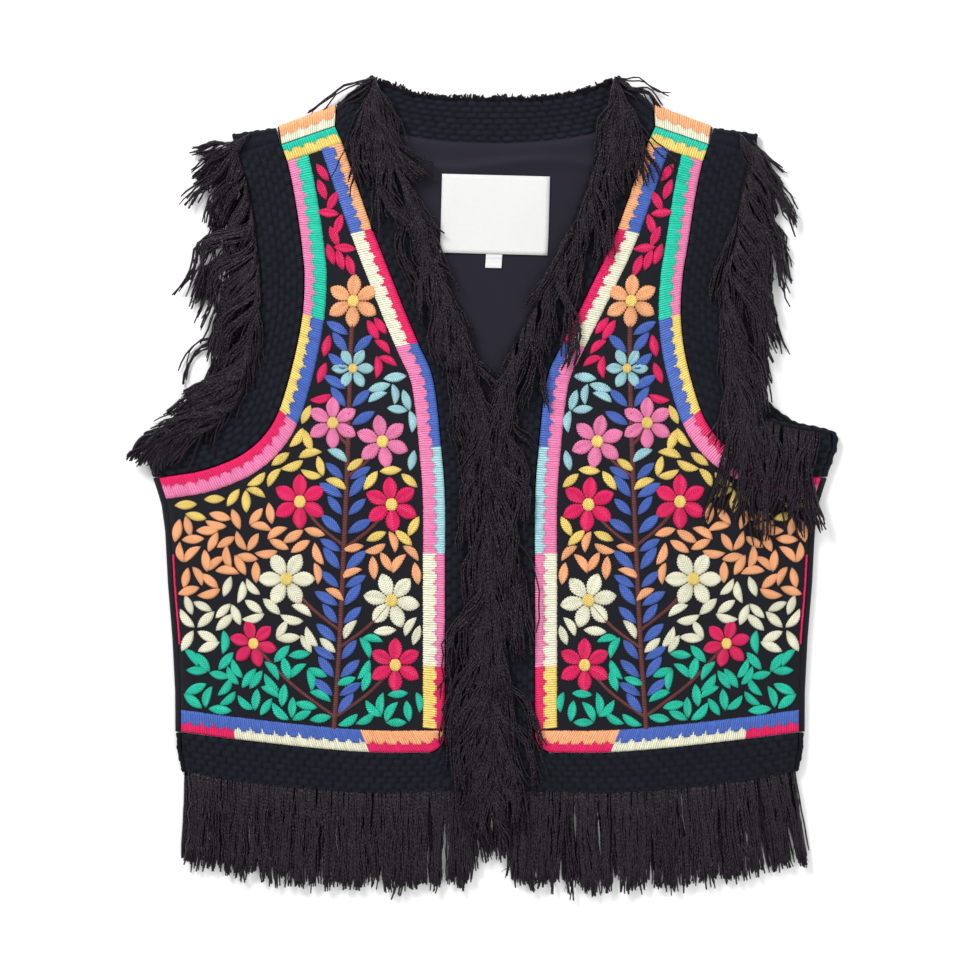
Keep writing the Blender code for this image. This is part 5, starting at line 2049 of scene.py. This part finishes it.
@dataclass
class Fringe:
    """Loose twisted yarns, rooted along one edge."""

    name: str
    nodes: Sequence[str]
    line: Points
    sweeps: Sequence[Sweep]
    side: int
    root_high: float
    count: int
    axis: int = 1
    lift: float = 1.8
    layers: float = 2.4
    scatter: float = 7.0
    wave: float = 2.2
    kink: float = 0.7
    curl: float = 14.0
    lock: int = 9
    radius: float = 0.62
    steps: int = 11
    ragged: float = 1.0
    frayed: int = 2
    kink_pitch: float = 17.0
    least_high: float = 0.7
    seed: int = 7

    def sweep_at(self, where: Points) -> Points:
        """Return how the fringe lies along the edge, in the order of a sweep's columns."""
        knots, *columns = zip(*sorted(self.sweeps))
        return np.array([np.interp(where, knots, column) for column in columns])

    def yarns(self) -> Points:
        """Return every yarn, bundled into locks that lie and wave alike.

        Returns:
            The points of each yarn from its root to its tip, in millimetres.
        """
        chance = np.random.default_rng(self.seed)
        locks = Locks(self.count, max(2, self.count // self.lock), chance)
        length = lengths_along(self.line)[-1]
        heart = np.arange(locks.locks) + 0.5 + chance.uniform(-0.4, 0.4, locks.locks)
        heart = heart / locks.locks * length
        along = np.clip(heart[locks.member] + chance.normal(0.0, 1.5, self.count), 0.0, length)
        where = at_lengths(self.line, heart)[locks.member][:, self.axis]
        degrees, reach, tip_high, hang, spread = self.sweep_at(where)
        stray = 1.0 + 1.1 * (chance.uniform(size=self.count) < 0.12)
        degrees = degrees + chance.normal(0.0, self.scatter, locks.locks)[locks.member]
        degrees = degrees + chance.normal(0.0, self.scatter * 0.3, self.count) * stray
        shorter = chance.normal(0.06, 0.1, locks.locks) * self.ragged
        reach = reach * np.clip(1.0 - shorter, 0.6, 1.15)[locks.member]
        reach = reach * np.clip(1.0 - chance.normal(0.04, 0.06, self.count) * self.ragged, 0.6, 1.1)
        t = np.linspace(0.0, 1.0, self.steps)[None, :]
        turn = np.radians(degrees)[:, None]
        bend = np.radians(locks.swerve(self.curl, 0.4))[:, None] * (t - 0.35) + np.radians(hang)[:, None] * t
        ahead = np.stack([np.sin(turn + bend), -np.cos(turn + bend)], axis=-1)
        run = (np.cumsum(ahead, axis=1) - ahead[:, :1]) * (reach / (self.steps - 1))[:, None, None]
        across = np.stack([np.cos(turn), np.sin(turn)], axis=-1)
        sway = self.sway(locks, reach, spread, t)
        plan = at_lengths(self.line, along)[:, None] + run + across * sway[..., None]
        layer = (locks.alike(0.0, 0.6) + locks.apart(0.0, 0.4))[:, None]
        level = self.root_high + (tip_high[:, None] - self.root_high) * smooth_step(t * 1.15)
        hump = self.lift * np.sin(math.pi * unit(t * 2.4)) ** 0.8
        high = level + hump + layer * self.layers * (0.25 + 0.75 * smooth_step(t * 2.5))
        return np.concatenate([plan, np.maximum(high, self.least_high)[..., None]], axis=-1)

    def sway(self, locks: Locks, reach: Points, spread: Points, t: Points) -> Points:
        """Return how far the yarns swing to the side on their way.

        Args:
            locks: The chance of the yarns.
            reach: Their lengths.
            spread: How far the locks are spread out sideways.
            t: The shares of the length at which the yarns' points lie.

        Returns:
            A distance for each point of each yarn.
        """
        swing = (locks.alike(0.2, 1.0) * self.wave)[:, None]
        phase = locks.alike(0.0, PHASES)[:, None]
        turns = locks.alike(0.6, 1.5)[:, None]
        sway = swing * (np.sin(phase + SWAY_TURN * turns * t) - np.sin(phase)) * smooth_step(t * 2.2)
        kink = np.sin(locks.apart(0.0, PHASES)[:, None] + SWAY_TURN * reach[:, None] / self.kink_pitch * t)
        sway = sway + self.kink * kink * smooth_step(t * 4.0) * locks.apart(0.3, 1.0)[:, None]
        aside = spread * locks.alike(-0.3, 1.0) * locks.apart(0.8, 1.15)
        return sway + aside[:, None] * smooth_step(t * 1.9)

    def hairs(self, yarns: Points) -> Points:
        """Return the frayed hairs at the yarns' tips.

        Args:
            yarns: The points of the yarns.

        Returns:
            The points of each hair.
        """
        chance = np.random.default_rng(self.seed + 2)
        tip = yarns[:, -2]
        lengths = np.linalg.norm(yarns[:, -1] - yarns[:, 0], axis=1)
        ahead = yarns[:, -1] - yarns[:, -3]
        ahead = ahead / np.maximum(np.linalg.norm(ahead, axis=1), MERGE)[:, None]
        turn = np.radians(chance.normal(0.0, 24.0, len(yarns)))
        spread = np.column_stack([ahead[:, 0] * np.cos(turn) - ahead[:, 1] * np.sin(turn),
                                  ahead[:, 0] * np.sin(turn) + ahead[:, 1] * np.cos(turn), 0.0 * turn])
        size = np.minimum(chance.uniform(2.5, 7.0, len(yarns)), 0.09 * lengths)[:, None]
        return np.stack([tip, tip + spread * size * 0.5, tip + (spread + 0.15 * ahead) * size], axis=1)

    def make(self) -> None:
        """Make the fringe as one mesh of round yarns."""
        curve = bpy.data.curves.new(self.name, "CURVE")
        curve.dimensions = "3D"
        curve.bevel_depth = self.radius * MM
        curve.bevel_resolution = 0
        curve.use_fill_caps = True
        yarns = self.yarns()
        plump = np.random.default_rng(self.seed + 3).uniform(0.75, 1.2, len(yarns))
        taper = np.interp(np.linspace(0.0, 1.0, self.steps), [0.0, 0.08, 0.9, 1.0], [0.8, 1.0, 0.95, 0.7])
        for yarn, size in zip(PLACE.lay(yarns, self.side), plump):
            self.add_spline(curve, yarn, taper * size)
        for hair in PLACE.lay(self.hairs(yarns[::self.frayed]), self.side):
            self.add_spline(curve, hair, np.array([0.4, 0.3, 0.12]))
        holder = bpy.data.objects.new(self.name, curve)
        mesh = bpy.data.meshes.new_from_object(holder)
        bpy.data.objects.remove(holder)
        bpy.data.curves.remove(curve)
        mesh.name = self.name
        Piece(self.name, YARN, self.nodes).add(mended(mesh, YARN_MERGE, turned=False))

    @staticmethod
    def add_spline(curve: Curve, places: Points, radii: Points) -> None:
        """Add one yarn to a curve.

        Args:
            curve: The curve.
            places: The yarn's points, in metres.
            radii: Its thickness at each, as a share of the curve's.
        """
        spline = curve.splines.new("POLY")
        spline.points.add(len(places) - 1)
        spline.points.foreach_set("co", np.column_stack([places, np.ones(len(places))]).ravel())
        spline.points.foreach_set("radius", radii)


SIDES = (("right", -1), ("left", 1))
HEM_RISE = np.array([0.0, 0.6])  # of the yarns' roots over the band's edge

FRONT_SWEEPS = {
    "right": [Sweep(285, -16, 60, 8, 0, 8), Sweep(220, -18, 66, 8.2, 0, 12),
              Sweep(100, -18, 72, 8.2, 4, 14), Sweep(40, -7, 76, 8.2, 4, 12),
              Sweep(-6, -3, 78, 8.2, 2, 14), Sweep(-40, 0, 76, 8.2, 0, 20),
              Sweep(-170, 0, 74, 7, 0, 19), Sweep(-215, 2, 44, 5, 0, 12)],
    "left": [Sweep(285, -4, 60, 8, 0, 10), Sweep(220, -11, 66, 8.2, 0, 13),
             Sweep(110, -15, 72, 8.4, 2, 11), Sweep(46, -2, 76, 8.6, 2, 18),
             Sweep(-10, 0, 78, 8.8, 0, 19), Sweep(-170, 0, 74, 7.4, 0, 17),
             Sweep(-215, 3, 44, 5.6, 0, 12)],
}
ARMHOLE_SWEEPS = {
    "right": [Sweep(240, 50, 52, 3), Sweep(228, 26, 54, 3, -6, 8),
              Sweep(206, 8, 62, 4, 0, 25), Sweep(130, 11, 64, 4, 0, 25),
              Sweep(104, 24, 66, 5, 0, 18), Sweep(86, 40, 62, 5.5, 0, 12),
              Sweep(70, 54, 58, 6, 0, 8), Sweep(54, 70, 50, 7, -12, 4),
              Sweep(42, 84, 40, 7.5, -50, 0), Sweep(30, 62, 30, 7.5, -60, 0)],
    "left": [Sweep(240, 34, 52, 3), Sweep(226, 20, 58, 4, -6, 8),
             Sweep(200, 4, 70, 6, 0, 24), Sweep(110, 3, 78, 7.5, 0, 18),
             Sweep(60, -2, 80, 8.4, 0, 8), Sweep(25, -8, 66, 8.4)],
}
UNDERARM_SWEEPS = [Sweep(92, 42, 50, 7, 0, 4), Sweep(64, 58, 50, 7.4, 0, 3),
                   Sweep(44, 74, 44, 7.8, -30, 0), Sweep(32, 66, 30, 7.8, -60, 0)]


@dataclass
class Fringes:
    """All the fringes of the vest."""

    inset: float = 1.6

    def make(self) -> None:
        """Make every fringe."""
        for word, side in SIDES:
            self.front(word, side)
            self.armhole(word, side)
            self.hem(word, side)
        self.back_hem()
        self.neck_tufts()

    def front(self, word: str, side: int) -> None:
        """Make the fringe of one neck and front edge.

        Args:
            word: The side's name.
            side: 1 for the wearer's left, -1 for the right.
        """
        free = offset(PATTERN.front_band_edges()[1][::-1], self.inset)
        free[:, 0] = np.maximum(free[:, 0], 1.2)
        line = np.vstack([(88.0, 280.0), free])
        Fringe(f"{word}_front_yarns", [f"{word}_front_fringe"], line, FRONT_SWEEPS[word], side,
               PATTERN.band_top + 0.4, 820, seed=11 + side, lift=2.4, layers=4.0, scatter=8.0, wave=3.4,
               kink=1.0, radius=0.66).make()
        top = resample(np.array([(84.0, 284.5), (93.0, 262.0)]), 9)
        Fringe(f"{word}_neck_bush", [], top, FRONT_SWEEPS[word], side, PATTERN.band_top + 0.8, 130,
               seed=71 + side, lift=3.0, layers=3.0, scatter=11.0, wave=3.0, curl=18.0).make()
        strays = [Sweep(0, 58, 44, 4)]
        Fringe(f"{word}_stray_yarns", [], top[:4], strays, side, PATTERN.band_top + 0.6, 11, seed=91 + side,
               lift=2.0, layers=1.5, scatter=9.0, wave=3.5, curl=40.0, lock=3).make()

    def armhole(self, word: str, side: int) -> None:
        """Make the fringes of the front and the back half of one armhole.

        Args:
            word: The side's name.
            side: 1 for the wearer's left, -1 for the right.
        """
        free = offset(PATTERN.armhole_band_edges()[1], -self.inset)
        free = free[free[:, 0] < PATTERN.front_side(free[:, 1], PATTERN.band_wall) - 3.0]
        sweeps = ARMHOLE_SWEEPS[word]
        line = np.vstack([(180.0, 241.0), free])
        Fringe(f"{word}_armhole_yarns", [f"{word}_armhole_fringe_front"], line, sweeps, side,
               PATTERN.band_top + 0.4, 560, seed=23 + side, lift=2.4, layers=4.0, scatter=8.0, wave=2.6,
               radius=0.66).make()
        top = resample(np.array([(171.0, 244.5), (182.0, 232.0)]), 9)
        bush = [row._replace(length=row.length * 0.8) for row in sweeps]
        Fringe(f"{word}_armhole_bush", [], top, bush, side, PATTERN.band_top + 0.6, 90, seed=81 + side,
               lift=2.4, layers=2.4, scatter=15.0, wave=3.0, curl=25.0).make()
        if side < 0:
            corner = offset(free[free[:, 1] < 96.0], -3.0)
            Fringe(f"{word}_underarm_yarns", [], corner, UNDERARM_SWEEPS, side, PATTERN.band_top + 1.2, 120,
                   seed=101, lift=2.6, layers=2.6, scatter=11.0, wave=3.0, curl=20.0).make()
        back = offset(PATTERN.back_armhole(), PATTERN.armhole_band_width - 0.5)
        back = back[(back[:, 1] > 88.0) & (back[:, 1] < 236.0)]
        behind = [row._replace(length=row.length * 0.82, tip_high=1.5) for row in sweeps]
        Fringe(f"{word}_armhole_yarns_back", [f"{word}_armhole_fringe_back"], back, behind, side, 1.6, 180,
               seed=31 + side, lift=0.2, layers=1.4, scatter=8.0, steps=9).make()

    def hem(self, word: str, side: int) -> None:
        """Make the fringe of the hem of one front.

        Args:
            word: The side's name.
            side: 1 for the wearer's left, -1 for the right.
        """
        edge = curve_through(HEM_EDGE, 160)
        edge = edge[(edge[:, 0] > 1.0) & (edge[:, 0] < PATTERN.front_side(edge[:, 1], PATTERN.band_wall))]
        flare = 12.0 if side > 0 else 2.0
        sweeps = [Sweep(0, 0, 44, 4.4), Sweep(12, 0, 52, 4.4), Sweep(18, 0, 68, 4.4),
                  Sweep(150, flare * 0.3, 69, 4.2), Sweep(214, flare, 66, 4)]
        Fringe(f"{word}_hem_yarns", [f"{word}_hem_fringe"], edge + HEM_RISE, sweeps, side,
               PATTERN.front_underside + 1.3, 500, axis=0, seed=41 + side, lift=0.3, layers=2.4, scatter=2.4,
               wave=1.3, kink=0.75, curl=5.0, lock=6, steps=10, radius=0.66, ragged=0.45).make()

    def back_hem(self) -> None:
        """Make the fringe of the hem of the back."""
        edge = curve_through(HEM_EDGE, 160)
        edge = both_halves(edge[edge[:, 0] < PATTERN.side_turn(edge[:, 1], PATTERN.band_wall)])
        sweeps = [Sweep(-214, -2, 64, 1.4), Sweep(-18, 0, 66, 1.4), Sweep(-10, 0, 44, 1.4),
                  Sweep(10, 0, 44, 1.4), Sweep(18, 0, 66, 1.4), Sweep(214, 10, 64, 1.4)]
        Fringe("back_hem_yarns", ["back_hem_fringe"], edge + HEM_RISE, sweeps, 1, 1.3, 460, axis=0, seed=53,
               lift=0.1, layers=1.2, scatter=1.8, wave=0.8, kink=0.2, curl=3.0, lock=5, steps=7, radius=0.7,
               ragged=0.5, frayed=4).make()

    def neck_tufts(self) -> None:
        """Make the fuzz that stands up past the back neck."""
        edge = both_halves(PATTERN.back_neck_free(60)) - np.array([0.0, self.inset])
        sweeps = [Sweep(-90, 190, 4.6, 2), Sweep(90, 170, 4.6, 2)]
        Fringe("back_neck_yarns", ["back_neck_fringe"], edge, sweeps, 1, 1.6, 360, axis=0, seed=61, lift=0.4,
               layers=1.4, scatter=34.0, wave=0.8, kink=0.4, curl=60.0, lock=4, radius=0.6, steps=5,
               frayed=4).make()


# The room

class Lamp(NamedTuple):
    """A soft square light that shines at the vest."""

    name: str
    place: tuple
    size: float
    power: float


LAMPS = (Lamp("key", (-1.1, 1.5, 1.3), 0.8, 50.0), Lamp("fill", (1.3, 0.3, 1.9), 1.6, 14.0),
         Lamp("low", (0.3, -1.6, 1.3), 1.2, 10.0))


@dataclass
class Studio:
    """A pale floor, soft light and the camera straight above."""

    image_width: float = 970.0
    image_height: float = 971.0
    scale: float = 0.7
    centre_column: float = 490.0
    centre_line: float = 484.5
    distance: float = 3.2
    sensor: float = 36.0
    sky: float = 0.55
    floor_half: float = 4.0
    floor_shade: float = 0.93

    def make(self) -> None:
        """Make the floor, the lights, the world and the camera."""
        self.make_floor()
        bpy.context.scene.view_settings.view_transform = "Standard"
        for lamp in LAMPS:
            self.make_light(lamp)
        world = bpy.data.worlds.new("studio")
        world.use_nodes = True
        Graph(world.node_tree).feed(world.node_tree.nodes["Background"],
                                    {"Color": (1.0, 1.0, 1.0, 1.0), "Strength": self.sky})
        bpy.context.scene.world = world
        self.make_camera()

    def make_floor(self) -> None:
        """Make the floor."""
        bm = bmesh.new()
        bmesh.ops.create_grid(bm, x_segments=2, y_segments=2, size=self.floor_half)
        mesh = bpy.data.meshes.new("floor")
        bm.to_mesh(mesh)
        bm.free()
        paper = bpy.data.materials.new("pale_paper")
        paper.use_nodes = True
        Graph(paper.node_tree).feed(paper.node_tree.nodes["Principled BSDF"],
                                    {"Base Color": (*[self.floor_shade] * 3, 1.0), "Roughness": 0.9})
        mesh.materials.append(paper)
        linked("floor", mesh)

    def make_light(self, lamp: Lamp) -> None:
        """Make one soft square light that shines at the vest.

        Args:
            lamp: Its name, place, size and power.
        """
        data = bpy.data.lights.new(lamp.name, "AREA")
        data.size = lamp.size
        data.energy = lamp.power
        light = linked(lamp.name, data)
        light.location = lamp.place
        light.rotation_euler = (-Vector(lamp.place)).to_track_quat("-Z", "Y").to_euler()

    def make_camera(self) -> None:
        """Make the camera, which looks straight down as the photograph does."""
        data = bpy.data.cameras.new("camera")
        data.sensor_width = self.sensor
        data.lens = self.sensor * self.distance / (self.image_width * self.scale * MM)
        data.clip_end = 20.0
        camera = linked("camera", data)
        out = (self.image_width / 2 - self.centre_column) * self.scale
        up = (self.centre_line - self.image_height / 2) * self.scale
        shift = PLACE.shift()
        camera.location = ((out + shift[0]) * MM, (up + shift[1]) * MM, self.distance)
        bpy.context.scene.camera = camera


def main() -> None:
    """Dress the vest."""
    logging.basicConfig(level=logging.INFO, format="%(message)s")
    Studio().make()
    BackPanel().make()
    Lining().make()
    Tag("label", lift=0.3, unevenness=0.25).make()
    Tag("size_tab").make()
    Bands().make()
    layout = Layout()
    for word, side in SIDES:
        FrontPanel(word, side).make()
        Border(word, side).make()
        ShoulderStitching(word, side).make()
        Needlework(word, side, layout).make()
    Fringes().make()


if __name__ == "__main__":
    main()
